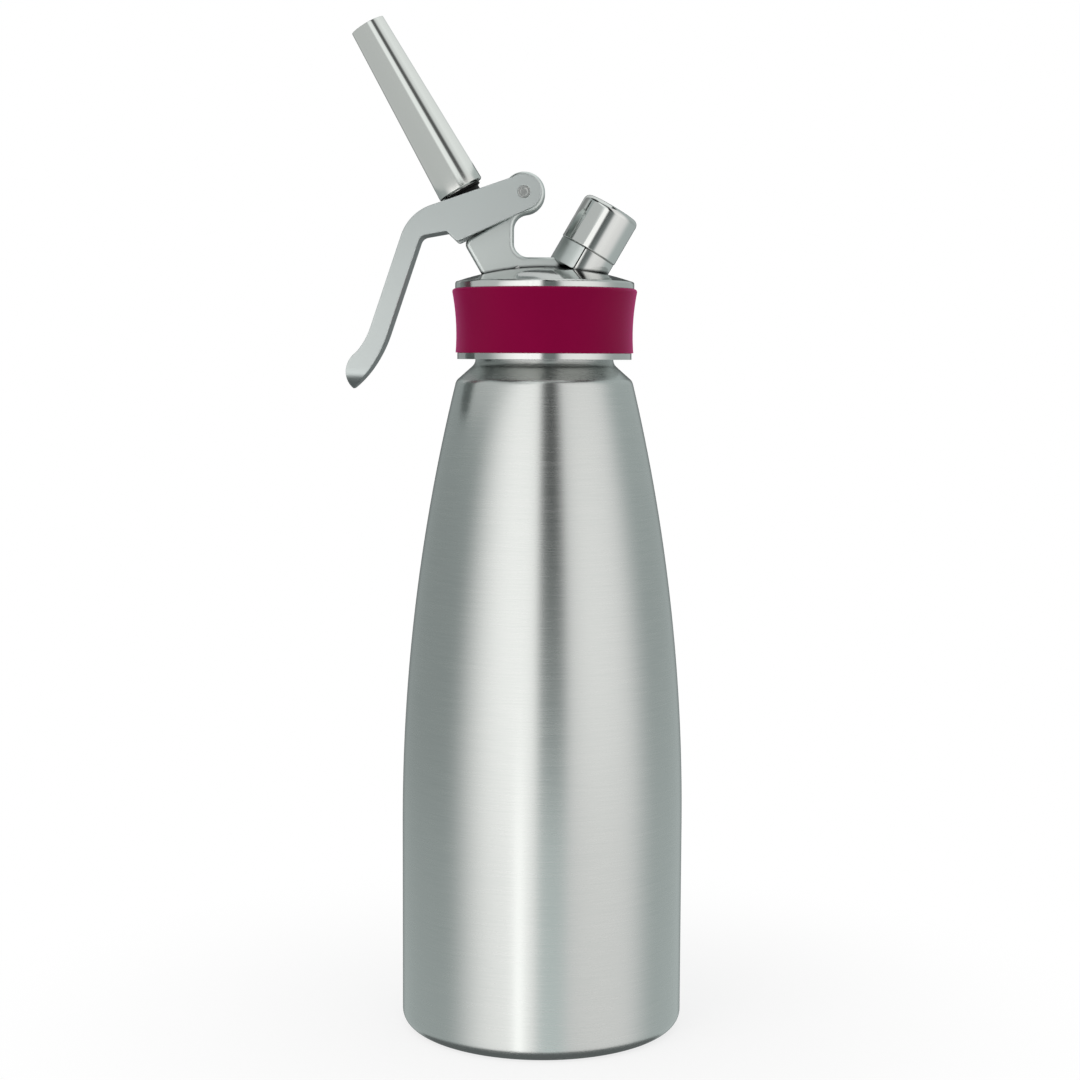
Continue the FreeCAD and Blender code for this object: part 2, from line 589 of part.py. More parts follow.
def build_lever():
    """Forked hand lever: one side outline, slotted for the post, with lugs and a flared end."""
    body = make_body("lever")
    shoulder = handle_point("0", "0")
    straight_end = handle_point("handle_length", "0")
    inner_end = handle_point("handle_length", "handle_thickness")
    lip_point = (f"{straight_end[0]} - flare_reach", f"{straight_end[1]} - flare_drop")
    flare_point = (f"{straight_end[0]} - flare_start_reach", f"{straight_end[1]} - flare_start_drop")
    eye_top = ("pivot_x - lever_eye * sin(lever_top_angle)",
               "pivot_z + lever_eye * cos(lever_top_angle)")
    eye_low = ("pivot_x + lever_eye * sin(lever_low_angle)",
               "pivot_z - lever_eye * cos(lever_low_angle)")
    cheek_corner = (f"{eye_low[0]} - cheek_reach * cos(lever_low_angle)",
                    f"{eye_low[1]} - cheek_reach * sin(lever_low_angle)")
    bar_gap = "-adapter_radius - crossbar_gap"
    bar_foot = valve_point(bar_gap, "bar_rise")
    inner_top = handle_point("armpit_drop", "handle_thickness")
    solid = thick(body, "lever_solid", draw_outline(make_sketch(body, "lever_outline"), [
        eye_top,
        shoulder,
        (*straight_end, "flare_bend", "right"),
        (*flare_point, "lip_round", "left"),
        (*lip_point, "flare_inner", "left"),
        inner_end,
        inner_top,
        (f"{bar_foot[0]} - lug_radius", f"{bar_foot[1]} - lug_radius"),
        cheek_corner,
        (*eye_low, "lever_eye", "left"),
        ("pivot_x + lever_eye", "pivot_z", "lever_eye", "left"),
    ]), "lever_width")
    solid = rounded(body, "lever_shoulder", solid, edge_across_at(solid, shoulder), "shoulder_bend")
    solid = rounded(body, "lever_armpit", solid, edge_across_at(solid, inner_top), "handle_thickness / 2")
    solid = rounded(body, "lever_cheek_corner", solid, edge_across_at(solid, cheek_corner), "lug_radius")

    bar_top = valve_point(bar_gap, "tip_rise + 2 * tip_base_radius")
    thick(body, "lever_slot", draw_outline(make_sketch(body, "slot_outline"), [
        bar_foot,
        (f"{bar_foot[0]} - lug_radius", f"{bar_foot[1]} - lug_radius"),
        (cheek_corner[0], f"{cheek_corner[1]} - lever_eye"),
        ("pivot_x + 2 * lever_eye", f"{cheek_corner[1]} - lever_eye"),
        ("pivot_x + 2 * lever_eye", bar_top[1]),
        bar_top,
    ]), "slot_width", cut=True)
    thick(body, "lugs", draw_circle(
        make_sketch(body, "lug_circle"), *valve_point("0", "lug_radius + lug_gap"), "lug_radius"),
        "slot_width + cheek_thickness")
    thick(body, "lug_gap", draw_circle(
        make_sketch(body, "lug_gap_circle"), *valve_point("0", "lug_radius + lug_gap"),
        "lug_radius + loose_gap"), "2 * stem_radius + 2 * loose_gap", cut=True)
    thick(body, "lever_holes", draw_circle(
        make_sketch(body, "lever_hole_circle"), "pivot_x", "pivot_z", "pin_radius + running_gap"),
        "2 * lever_width", cut=True)
    corner = "end_corner"
    low = f"{lip_point[1]}"
    for name, side in (("front", "-"), ("back", "")):
        edge = f"{side}(lever_width / 2)"
        inset = f"{side}(lever_width / 2 - {corner})"
        outside = f"{side}(lever_width / 2 + {corner})"
        turn = "left" if side == "" else "right"
        feature = thick(body, f"end_corner_{name}", draw_outline(
            make_sketch(body, f"end_corner_{name}_outline", plane="YZ_Plane"), [
                (inset, low, corner, turn),
                (edge, f"{low} + {corner}"),
                (outside, f"{low} + {corner}"),
                (outside, f"{low} - {corner}"),
                (inset, f"{low} - {corner}"),
            ]), "4 * bottle_radius", cut=True)
    return body


def build_valve_stem():
    """Hollow stem with a flange for the lugs and cross holes above the poppet."""
    body = turned_body("valve_stem", [
        ("0", "stem_foot"),
        ("stem_radius", "stem_foot"),
        ("stem_radius", "-flange_thickness"),
        ("flange_radius", "-flange_thickness"),
        ("flange_radius", "0"),
        ("stem_radius", "0"),
        ("stem_radius", "stem_top"),
        ("stem_bore", "stem_top"),
        ("stem_bore", "cross_hole - valve_reach"),
        ("0", "cross_hole - valve_reach"),
    ], CONTACT, VALVE_TILT)
    level = "cross_hole_rise - valve_reach"
    for plane in ("XZ_Plane", "YZ_Plane"):
        thick(body, f"cross_hole_{plane[:2].lower()}", draw_circle(
            make_sketch(body, f"cross_circle_{plane[:2].lower()}", plane=plane), "0", level,
            "cross_hole"), "3 * stem_radius", cut=True)
    return body


def build_tip_adapter():
    """Turned collar pressed on the stem, with a rim under the tip and a channel through."""
    return turned_body("tip_adapter", [
        ("stem_radius + fit_gap", "groove_height"),
        ("adapter_radius", "groove_height"),
        ("adapter_radius", "adapter_top"),
        ("stem_bore", "adapter_top"),
        ("stem_bore", "stem_top"),
        ("stem_radius + fit_gap", "stem_top"),
    ], CONTACT, VALVE_TILT)


def build_tip_washer():
    """Flat ring between the adapter and the shoulder inside the tip."""
    return turned_body("tip_washer", [
        ("tip_throat", "adapter_top"),
        ("adapter_radius", "adapter_top"),
        ("adapter_radius", "adapter_top + washer_thickness"),
        ("tip_throat", "adapter_top + washer_thickness"),
    ], CONTACT, VALVE_TILT)


def build_decorator_tip():
    """Tapered nozzle: socket for the adapter, widening channel and an even bore at the mouth."""
    return turned_body("decorator_tip", [
        ("adapter_radius + running_gap", "tip_rise"),
        ("tip_base_radius - slot_gap", "tip_rise"),
        ("tip_base_radius", "tip_rise + slot_gap"),
        ("tip_end_radius", "tip_end"),
        ("tip_mouth", "tip_end"),
        ("tip_mouth", "tip_end - tip_mouth_length"),
        ("tip_throat", "tip_rise + tip_socket_depth"),
        ("adapter_radius + running_gap", "tip_rise + tip_socket_depth"),
    ], CONTACT, VALVE_TILT)


def build_valve_spring():
    """Compression spring round the stem, a wire carried along a helix."""
    body = make_body("valve_spring", CONTACT, VALVE_TILT)
    mean = "(pocket_radius + stem_radius) / 2"
    profile = draw_circle(make_sketch(body, "wire_circle"), mean, "web_top + spring_wire", "spring_wire")
    helix = body.newObject("PartDesign::AdditiveHelix", "valve_spring_coil")
    helix.Profile = profile
    helix.ReferenceAxis = (profile, ["V_Axis"])
    helix.Mode = "height-turns-angle"
    rise = "-flange_thickness - 2 * spring_wire - spring_play - web_top"
    helix.Height = size(rise)
    helix.Turns = size("spring_turns")
    bind(helix, "Height", rise)
    bind(helix, "Turns", "spring_turns")
    document.recompute()
    return body


def build_guide_bush():
    """Short bush that guides the stem below the web."""
    return turned_body("guide_bush", [
        ("stem_radius + running_gap", "bush_foot"),
        ("gland_radius - fit_gap", "bush_foot"),
        ("gland_radius - fit_gap", "web_foot"),
        ("stem_radius + running_gap", "web_foot"),
    ], CONTACT, VALVE_TILT)


def build_stem_seal():
    """Round sealing ring between the stem and the bore."""
    ring = document.addObject("Part::Torus", "stem_seal")
    ring.Label = "stem_seal"
    bind(ring, "Radius1", "(gland_radius + stem_radius) / 2")
    bind(ring, "Radius2", "seal_radius")
    x, z = valve_point("0", "bush_foot - seal_radius - fit_gap")
    ring.Placement = Placement(Vector(size(x), 0, size(z)),
                               Rotation(Vector(0, 1, 0), size(VALVE_TILT)))
    bind(ring, "Placement.Base.x", x)
    bind(ring, "Placement.Base.z", z)
    bind(ring, "Placement.Rotation.Angle", VALVE_TILT)
    return ring


def build_valve_seat():
    """Turned seat at the inner end of the valve bore, chamfered towards the seal."""
    return turned_body("valve_seat", [
        ("seat_bore", "-valve_reach"),
        ("gland_radius - fit_gap", "-valve_reach"),
        ("gland_radius - fit_gap", "valve_seat_top"),
        ("stem_radius + loose_gap", "valve_seat_top"),
        ("seat_bore", "valve_seat_top - slot_gap"),
    ], CONTACT, VALVE_TILT)


def build_poppet():
    """Cup on the inner end of the stem that holds the rubber disc."""
    foot = "-valve_reach - poppet_seal_thickness - poppet_thickness"
    floor = "-valve_reach - poppet_seal_thickness"
    rim = "-valve_reach - poppet_seal_thickness / 2"
    return turned_body("poppet", [
        ("0", foot),
        ("poppet_radius - slab_round", foot, "slab_round", "left"),
        ("poppet_radius", f"{foot} + slab_round"),
        ("poppet_radius", rim),
        ("poppet_seal_radius + fit_gap", rim),
        ("poppet_seal_radius + fit_gap", floor),
        ("stem_radius + fit_gap", floor),
        ("stem_radius + fit_gap", "stem_foot"),
        ("0", "stem_foot"),
    ], CONTACT, VALVE_TILT)


def build_poppet_seal():
    """Rubber disc that closes on the seat."""
    return turned_body("poppet_seal", [
        ("stem_radius + fit_gap", "-valve_reach - poppet_seal_thickness"),
        ("poppet_seal_radius", "-valve_reach - poppet_seal_thickness"),
        ("poppet_seal_radius", "-valve_reach"),
        ("stem_radius + fit_gap", "-valve_reach"),
    ], CONTACT, VALVE_TILT)


def build_needle_carrier():
    """Turned plug that holds the piercing needle at the bottom of the charger socket."""
    return turned_body("needle_carrier", [
        ("needle_radius + fit_gap", "carrier_foot"),
        ("carrier_radius - fit_gap", "carrier_foot"),
        ("carrier_radius - fit_gap", "stud_bore_foot"),
        ("needle_radius + fit_gap", "stud_bore_foot"),
    ], PORT, PORT_TILT)


def build_piercing_needle():
    """Hollow needle with a conical point that stands up in the socket."""
    return turned_body("piercing_needle", [
        ("needle_bore", "carrier_foot"),
        ("needle_radius", "carrier_foot"),
        ("needle_radius", "stud_bore_foot + needle_reach - 2 * needle_radius"),
        ("needle_bore + fit_gap", "stud_bore_foot + needle_reach"),
        ("needle_bore", "stud_bore_foot + needle_reach"),
    ], PORT, PORT_TILT)


def build_charger_gasket():
    """Ring on the socket's floor that the charger's neck presses on."""
    return turned_body("charger_gasket", [
        ("needle_radius * 2", "stud_bore_foot"),
        ("charger_socket - fit_gap", "stud_bore_foot"),
        ("charger_socket - fit_gap", "stud_bore_foot + charger_gasket_height"),
        ("needle_radius * 2", "stud_bore_foot + charger_gasket_height"),
    ], PORT, PORT_TILT)


def build_inlet_valve():
    """Rubber one-way valve: a flange with a tapered nose that points into the bottle."""
    return turned_body("inlet_valve", [
        ("needle_radius", "inlet_top"),
        ("needle_bore", "inlet_top - inlet_flange - inlet_nose"),
        ("needle_radius", "inlet_top - inlet_flange - inlet_nose"),
        ("needle_radius * 2", "inlet_top - inlet_flange"),
        ("inlet_radius - fit_gap", "inlet_top - inlet_flange"),
        ("inlet_radius - fit_gap", "inlet_top"),
    ], PORT, PORT_TILT)


def build_inlet_retainer():
    """Ring that holds the one-way valve up in its bore."""
    return turned_body("inlet_retainer", [
        ("needle_radius * 2 + loose_gap", "inlet_foot"),
        ("inlet_radius - fit_gap", "inlet_foot"),
        ("inlet_radius - fit_gap", "inlet_top - inlet_flange"),
        ("needle_radius * 2 + loose_gap", "inlet_top - inlet_flange"),
    ], PORT, PORT_TILT)


def build_port_cap():
    """Screw cap with a rounded crown over the charger stud."""
    return turned_body("port_cap", [
        ("stud_radius + loose_gap", "cap_seat_gap"),
        ("cap_radius - slot_gap", "cap_seat_gap"),
        ("cap_radius", "cap_seat_gap + slot_gap"),
        ("cap_radius", "cap_length - cap_round", "cap_round", "left"),
        ("cap_radius - cap_round", "cap_length"),
        ("0", "cap_length"),
        ("0", "stud_height + loose_gap"),
        ("stud_radius + loose_gap", "stud_height + loose_gap"),
    ], PORT, PORT_TILT)


def check_and_write(parts):
    """Stop on any failed object or bad shape, then write one file for each sub-part."""
    document.recompute()
    failed = [item.Name for item in document.Objects
              if {"Invalid", "Error"} & set(item.State)]
    for part in parts:
        if part.Shape.isNull() or not part.Shape.isValid() or not part.Shape.Solids:
            failed.append(part.Label)
    if failed:
        raise RuntimeError(f"failed: {', '.join(failed)}")
    for part in parts:
        part.Shape.exportStep(f"parts/{part.Label}.step")
        print(f"{part.Label}: {part.Shape.Volume:.1f} mm3, {len(part.Shape.Solids)} solid")


check_and_write([
    build_bottle(),
    build_head_gasket(),
    build_head_cap(),
    build_grip_sleeve(),
    build_pivot_pin(),
    build_lever(),
    build_valve_stem(),
    build_tip_adapter(),
    build_tip_washer(),
    build_decorator_tip(),
    build_valve_spring(),
    build_guide_bush(),
    build_stem_seal(),
    build_valve_seat(),
    build_poppet(),
    build_poppet_seal(),
    build_needle_carrier(),
    build_piercing_needle(),
    build_charger_gasket(),
    build_inlet_valve(),
    build_inlet_retainer(),
    build_port_cap(),
])
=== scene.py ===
"""Looks of a steel whipped cream dispenser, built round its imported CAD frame. Metres, +Z up."""

import logging
import math
from dataclasses import dataclass
from enum import Enum
from typing import Any

import bmesh
import bpy
import numpy as np
from mathutils import Euler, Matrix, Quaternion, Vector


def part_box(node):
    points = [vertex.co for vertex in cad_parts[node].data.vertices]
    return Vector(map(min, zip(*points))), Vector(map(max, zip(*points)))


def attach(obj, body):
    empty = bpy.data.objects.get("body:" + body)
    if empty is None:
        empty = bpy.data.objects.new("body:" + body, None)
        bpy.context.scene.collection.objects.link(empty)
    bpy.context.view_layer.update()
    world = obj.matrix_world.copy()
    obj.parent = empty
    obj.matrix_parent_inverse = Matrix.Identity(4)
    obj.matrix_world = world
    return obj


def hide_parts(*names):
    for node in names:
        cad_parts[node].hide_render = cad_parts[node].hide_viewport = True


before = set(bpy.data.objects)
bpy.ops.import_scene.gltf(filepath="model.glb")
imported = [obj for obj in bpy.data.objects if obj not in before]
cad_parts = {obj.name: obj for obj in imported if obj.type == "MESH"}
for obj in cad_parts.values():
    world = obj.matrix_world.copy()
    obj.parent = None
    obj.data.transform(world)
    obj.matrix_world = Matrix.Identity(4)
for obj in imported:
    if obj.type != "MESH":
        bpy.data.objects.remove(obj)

LOG = logging.getLogger("dispenser")
MM = 0.001
TURN = 2 * math.pi
POLE = 1e-9                         # m, radius under which a profile's end is on the axis
SHARP = math.radians(40)            # angle from which an edge stays sharp
PAINTED_SHADE = "#141716"            # painted shade: dark grey that base colours take in deep creases and on the lines round the head's pad


def linear(hex_colour: str) -> tuple[float, float, float, float]:
    """Turn an sRGB hex colour into linear RGBA.

    Args:
        hex_colour: colour such as "#c8c8c6".

    Returns:
        Linear red, green, blue and an alpha of one.
    """
    channels = [int(hex_colour[start:start + 2], 16) / 255 for start in (1, 3, 5)]
    return (*(c / 12.92 if c <= 0.04045 else ((c + 0.055) / 1.055) ** 2.4 for c in channels), 1.0)


def add_node(tree: bpy.types.NodeTree, kind: str, settings: dict[str, Any] | None = None,
             links: dict[Any, Any] | None = None) -> bpy.types.Node:
    """Add a shader node.

    Args:
        tree: node tree that gets it.
        kind: type name of the node.
        settings: attributes of the node to set.
        links: input name or number, with the socket to link or the value to set.

    Returns:
        The new node.
    """
    node = tree.nodes.new(kind)
    for name, value in (settings or {}).items():
        setattr(node, name, value)
    for name, value in (links or {}).items():
        if isinstance(value, bpy.types.NodeSocket):
            tree.links.new(value, node.inputs[name])
        else:
            node.inputs[name].default_value = value
    return node


def new_material(name: str) -> tuple[bpy.types.Material, bpy.types.NodeTree, bpy.types.Node]:
    """Make an empty node material.

    Args:
        name: name of the finish.

    Returns:
        The material, its node tree and its output node.
    """
    material = bpy.data.materials.new(name)
    material.use_nodes = True
    tree = material.node_tree
    tree.nodes.clear()
    return material, tree, add_node(tree, "ShaderNodeOutputMaterial")


def surface(name: str, points: np.ndarray, ring: bool = True, loop: bool = False, pole_first: bool = False,
            pole_last: bool = False) -> bpy.types.Object:
    """Make a mesh of a grid of points: face (i, j) joins rows i, i+1 and columns j, j+1.

    Args:
        name: name of the piece.
        points: array of rows, columns and XYZ in metres.
        ring: whether the last column joins the first.
        loop: whether the last row joins the first.
        pole_first: whether the first row is one point, met by triangles.
        pole_last: whether the last row is one point, met by triangles.

    Returns:
        The new object, with a UV map of columns across and rows up.
    """
    rows, columns = points.shape[:2]
    spans, rises = (columns if ring else columns - 1), (rows if loop else rows - 1)
    row, column = (grid.ravel() for grid in np.meshgrid(np.arange(rises), np.arange(spans), indexing="ij"))
    above, after = (row + 1) % rows, (column + 1) % columns
    quads = np.stack([row * columns + column, row * columns + after,
                      above * columns + after, above * columns + column], 1)
    across = np.stack([column, column + 1, column + 1, column], 1) / spans
    up = np.stack([row, row, row + 1, row + 1], 1) / rises
    first, last = (row == 0) & pole_first, (row == rises - 1) & pole_last
    quads[first, :2] = 0
    quads[last, 2:] = (rows - 1) * columns
    faces, uv = [], []
    for order, chosen in (([0, 1, 2, 3], ~first & ~last), ([0, 2, 3], first), ([0, 1, 2], last)):
        faces += quads[chosen][:, order].tolist()
        uv.append(np.stack([across[chosen][:, order], up[chosen][:, order]], 2).reshape(-1, 2))
    mesh = bpy.data.meshes.new(name)
    mesh.from_pydata(points.reshape(-1, 3).tolist(), [], faces)
    mesh.uv_layers.new(name="surface").data.foreach_set("uv", np.concatenate(uv).ravel().astype(np.float32))
    remove_loose(mesh)
    mesh.validate()
    mesh.shade_smooth()
    mesh.set_sharp_from_angle(angle=SHARP)
    piece = bpy.data.objects.new(name, mesh)
    bpy.context.scene.collection.objects.link(piece)
    return piece


def remove_loose(mesh: bpy.types.Mesh) -> None:
    """Delete the points that no face uses, such as the rest of a pole's row."""
    work = bmesh.new()
    work.from_mesh(mesh)
    bmesh.ops.delete(work, geom=[point for point in work.verts if not point.link_faces], context="VERTS")
    work.to_mesh(mesh)
    work.free()


def lathe(name: str, profile: np.ndarray, columns: int) -> bpy.types.Object:
    """Turn a profile (r, z) about Z: x = r cos a, y = r sin a, for a from 0 to a full turn.

    Args:
        name: name of the piece.
        profile: points in metres, outside on the right of the way, with a pole at an end where r is
            0, and otherwise closed from the last to the first.
        columns: points round the axis.

    Returns:
        The new object.
    """
    angle = np.linspace(0, TURN, columns, endpoint=False)
    radius, height = profile[:, :1], profile[:, 1:]
    points = np.stack([radius * np.cos(angle), radius * np.sin(angle),
                       np.broadcast_to(height, (len(profile), columns))], 2)
    on_axis = [bool(profile[end, 0] < POLE) for end in (0, -1)]
    return surface(name, points, True, not any(on_axis), *on_axis)


def disc(name: str, radius: float, height: float, rings: int, columns: int) -> bpy.types.Object:
    """Flat round sheet at a height: x = r cos a, y = r sin a, for r from 0 to the radius."""
    angle = np.linspace(0, TURN, columns, endpoint=False)
    reach = np.linspace(0, radius, rings)[:, None]
    points = np.stack([reach * np.cos(angle), reach * np.sin(angle), np.full((rings, columns), height)], 2)
    return surface(name, points, pole_first=True)


def arc(centre: tuple[float, float], radius: float, start: float, end: float, count: int) -> np.ndarray:
    """Points on an arc: centre + radius (cos a, sin a), for a from start to end in degrees."""
    angle = np.radians(np.linspace(start, end, count))
    return np.stack([centre[0] + radius * np.cos(angle), centre[1] + radius * np.sin(angle)], 1)


def rounded_corner(before: np.ndarray, corner: np.ndarray, after: np.ndarray, radius: float,
                   count: int = 12) -> np.ndarray:
    """Points that round a corner with an arc tangent to both of its sides.

    Args:
        before: point on the side that comes in.
        corner: the sharp corner.
        after: point on the side that goes out.
        radius: radius of the arc.
        count: points on the arc.

    Returns:
        The arc's points: it starts r tan(t/2) before the corner, where t is the turn.
    """
    way_in = (corner - before) / np.linalg.norm(corner - before)
    way_out = (after - corner) / np.linalg.norm(after - corner)
    turn = math.atan2(way_in[0] * way_out[1] - way_in[1] * way_out[0], float(way_in @ way_out))
    start = corner - way_in * radius * math.tan(abs(turn) / 2)
    side = np.array([-way_in[1], way_in[0]]) * math.copysign(1, turn)
    angle = np.linspace(0, abs(turn), count)[:, None]
    return start + radius * (way_in * np.sin(angle) + side * (1 - np.cos(angle)))


@dataclass(frozen=True)
class Thread:
    """Right-hand thread ridge on a round wall, inside or outside."""

    name: str
    wall: float                     # m, radius of the wall that carries it
    depth: float                    # m, how far the crest stands off it, negative inside a bore
    bottom: float                   # m, height at which it starts
    top: float                      # m
    pitch: float                    # m, rise in one turn
    phase: float = 0.0              # radians by which the helix is turned
    sunk: float = 0.06 * MM         # foot below the wall's face
    steps: int = 72                 # rings in a turn
    fade: float = TURN / 6          # angle over which each end fades out

    def build(self) -> bpy.types.Object:
        """Carry a trapezoid up the helix z = bottom + pitch a / turn, faded out at both ends.

        Returns:
            The ridge.
        """
        turns = (self.top - self.bottom) / self.pitch
        angle = np.linspace(0, TURN * turns, int(self.steps * turns))
        fade = np.clip(np.minimum(angle, angle[-1] - angle) / self.fade, 0.02, 1)
        fade = fade * fade * (3 - 2 * fade)
        sunk = -self.sunk * np.sign(self.depth)
        flank = 0.8 * self.depth
        offset = np.array([sunk, 0.0, flank, self.depth, self.depth, flank, 0.0, sunk])
        rise = self.pitch * np.array([-0.24, -0.24, -0.13, -0.09, 0.09, 0.13, 0.24, 0.24])
        if self.depth < 0:
            offset, rise = offset[::-1], rise[::-1]
        reach = self.wall + offset[None] * fade[:, None]
        height = (self.bottom + self.pitch * angle / TURN)[:, None] + rise[None] * (0.4 + 0.6 * fade[:, None])
        turned = (angle + self.phase)[:, None]
        rings = np.stack([reach * np.cos(turned), reach * np.sin(turned), height], 2)
        ends = [np.broadcast_to(ring.mean(0), (1, len(offset), 3)) for ring in (rings[0], rings[-1])]
        points = np.concatenate([ends[0], rings, ends[1]])[:, ::-1]
        return surface(self.name, points, pole_first=True, pole_last=True)


class Axis(Enum):
    """Tilted axis of the head, on which its bores and turned pieces lie."""

    VALVE = (-0.5, 0.0, 0.8660254)
    CHARGER = (0.5, 0.0, 0.8660254)

    @property
    def across(self) -> tuple[float, float, float]:
        """Direction square to the axis, towards +X."""
        return self.value[2], 0.0, -self.value[0]

    def beside(self, point: tuple[float, float], distance: float) -> tuple[float, float]:
        """X and Z of the place at a distance across the axis from a point."""
        return point[0] + distance * self.across[0], point[1] + distance * self.across[2]


def laid(piece: bpy.types.Object, origin: tuple[float, float], axis: Axis) -> bpy.types.Object:
    """Turn a mesh from the upright axis to a tilted one and move it there.

    Args:
        piece: object whose mesh is upright at the origin.
        origin: X and Z of the axis's zero point.
        axis: the tilted axis.

    Returns:
        The same object.
    """
    flat = np.empty(len(piece.data.vertices) * 3, np.float32)
    piece.data.vertices.foreach_get("co", flat)
    x, y, z = flat.reshape(-1, 3).T
    side, _, rise = axis.value
    moved = np.stack([origin[0] + x * rise + z * side, y, origin[1] - x * side + z * rise], 1)
    piece.data.vertices.foreach_set("co", moved.astype(np.float32).ravel())
    piece.data.update()
    return piece


@dataclass(frozen=True)
class BrushedStainless:
    """Stainless steel, brushed round its axis on a belt: tall soft stripes of light, fine level lines."""

    dark: str = "#bfc2c0"
    light: str = "#cfd0ce"
    roughness: float = 0.26
    haze: float = 0.05
    anisotropy: float = 0.5
    line_spacing: float = 0.45      # mm; the real scratches, about 0.1 mm apart, are too fine to show
    line_length: float = 14.0       # mm
    depth: float = 0.004            # mm

    def make(self) -> bpy.types.Material:
        """Build the material: streaks are noise squeezed along Z, highlights stretch up the UV map."""
        material, tree, output = new_material("brushed stainless steel")
        spot = add_node(tree, "ShaderNodeTexCoord").outputs["Object"]
        along, across = 1 / (self.line_length * MM), 1 / (self.line_spacing * MM)
        streaks = add_node(tree, "ShaderNodeMapping", links={
            "Vector": spot, "Scale": (along, along, across)})
        lines = add_node(tree, "ShaderNodeTexNoise", links={
            "Vector": streaks.outputs[0], "Scale": 1.0, "Detail": 3.0, "Roughness": 0.6})
        bump = add_node(tree, "ShaderNodeBump", links={
            "Height": lines.outputs["Fac"], "Strength": 0.5, "Distance": self.depth * MM})
        rough = add_node(tree, "ShaderNodeMapRange", links={
            "Value": lines.outputs["Fac"],
            "To Min": self.roughness - self.haze, "To Max": self.roughness + self.haze})
        tone = add_node(tree, "ShaderNodeMix", {"data_type": "RGBA"}, {
            "Factor": lines.outputs["Fac"], 6: linear(self.dark), 7: linear(self.light)})
        way = add_node(tree, "ShaderNodeTangent", {"direction_type": "UV_MAP", "uv_map": "surface"})
        steel = add_node(tree, "ShaderNodeBsdfPrincipled", links={
            "Base Color": tone.outputs[2], "Metallic": 1.0, "Roughness": rough.outputs[0],
            "Anisotropic": self.anisotropy, "Anisotropic Rotation": 0.25,
            "Tangent": way.outputs[0], "Normal": bump.outputs[0]})
        tree.links.new(steel.outputs[0], output.inputs[0])
        return material


@dataclass(frozen=True)
class PolishedMetal:
    """Metal with a buffed or satin face: a fine grain in the gloss and slightly broken edges."""

    name: str = "mirror polished stainless steel"
    colour: str = "#cfd0ce"
    roughness: float = 0.07
    haze: float = 0.03
    grain: float = 0.5              # mm
    depth: float = 0.0006           # mm; grain and depth are those of a buffed face
    edge: float = 0.35              # mm, radius of the broken edges
    painted_shade_width: float = 0.0             # mm, width of the painted shade that darkens inner corners

    def shader(self, tree: bpy.types.NodeTree) -> bpy.types.Node:
        """Build the metal: noise varies the gloss and lifts the face, a bevel rounds the edges."""
        spot = add_node(tree, "ShaderNodeTexCoord").outputs["Object"]
        noise = add_node(tree, "ShaderNodeTexNoise", links={
            "Vector": spot, "Scale": 1 / (self.grain * MM), "Detail": 3.0, "Roughness": 0.6})
        broad = add_node(tree, "ShaderNodeTexNoise", links={
            "Vector": spot, "Scale": 1 / (30 * self.grain * MM), "Detail": 2.0})
        gloss = math_node(tree, "MULTIPLY", noise.outputs["Fac"], broad.outputs["Fac"])
        rough = add_node(tree, "ShaderNodeMapRange", links={
            "Value": gloss, "From Max": 0.5,
            "To Min": self.roughness - self.haze, "To Max": self.roughness + self.haze})
        edge = add_node(tree, "ShaderNodeBevel", {"samples": 6}, {"Radius": self.edge * MM})
        bump = add_node(tree, "ShaderNodeBump", links={
            "Height": noise.outputs["Fac"], "Strength": 0.5, "Distance": self.depth * MM,
            "Normal": edge.outputs[0]})
        metal = add_node(tree, "ShaderNodeBsdfPrincipled", links={
            "Base Color": linear(self.colour), "Metallic": 1.0, "Roughness": rough.outputs[0],
            "Normal": bump.outputs[0]})
        # Painted shade: where ambient occlusion finds an inner corner, the base colour darkens to the dark crease
        # grey
        if self.painted_shade_width:
            near = add_node(tree, "ShaderNodeAmbientOcclusion", {"samples": 8, "only_local": True}, {
                "Distance": self.painted_shade_width * MM})
            share = add_node(tree, "ShaderNodeMapRange", {"interpolation_type": "SMOOTHSTEP"}, {
                "Value": near.outputs["AO"], "From Min": 0.55, "From Max": 0.9})
            tone = add_node(tree, "ShaderNodeMix", {"data_type": "RGBA"}, {
                0: share.outputs[0], 6: linear(PAINTED_SHADE), 7: linear(self.colour)})
            tree.links.new(tone.outputs[2], metal.inputs["Base Color"])
        return metal

    def make(self) -> bpy.types.Material:
        """Build the material."""
        material, tree, output = new_material(self.name)
        tree.links.new(self.shader(tree).outputs[0], output.inputs[0])
        return material


def math_node(tree: bpy.types.NodeTree, operation: str, *values: Any) -> bpy.types.NodeSocket:
    """Result of a maths node on up to three sockets or numbers."""
    return add_node(tree, "ShaderNodeMath", {"operation": operation}, dict(enumerate(values))).outputs[0]


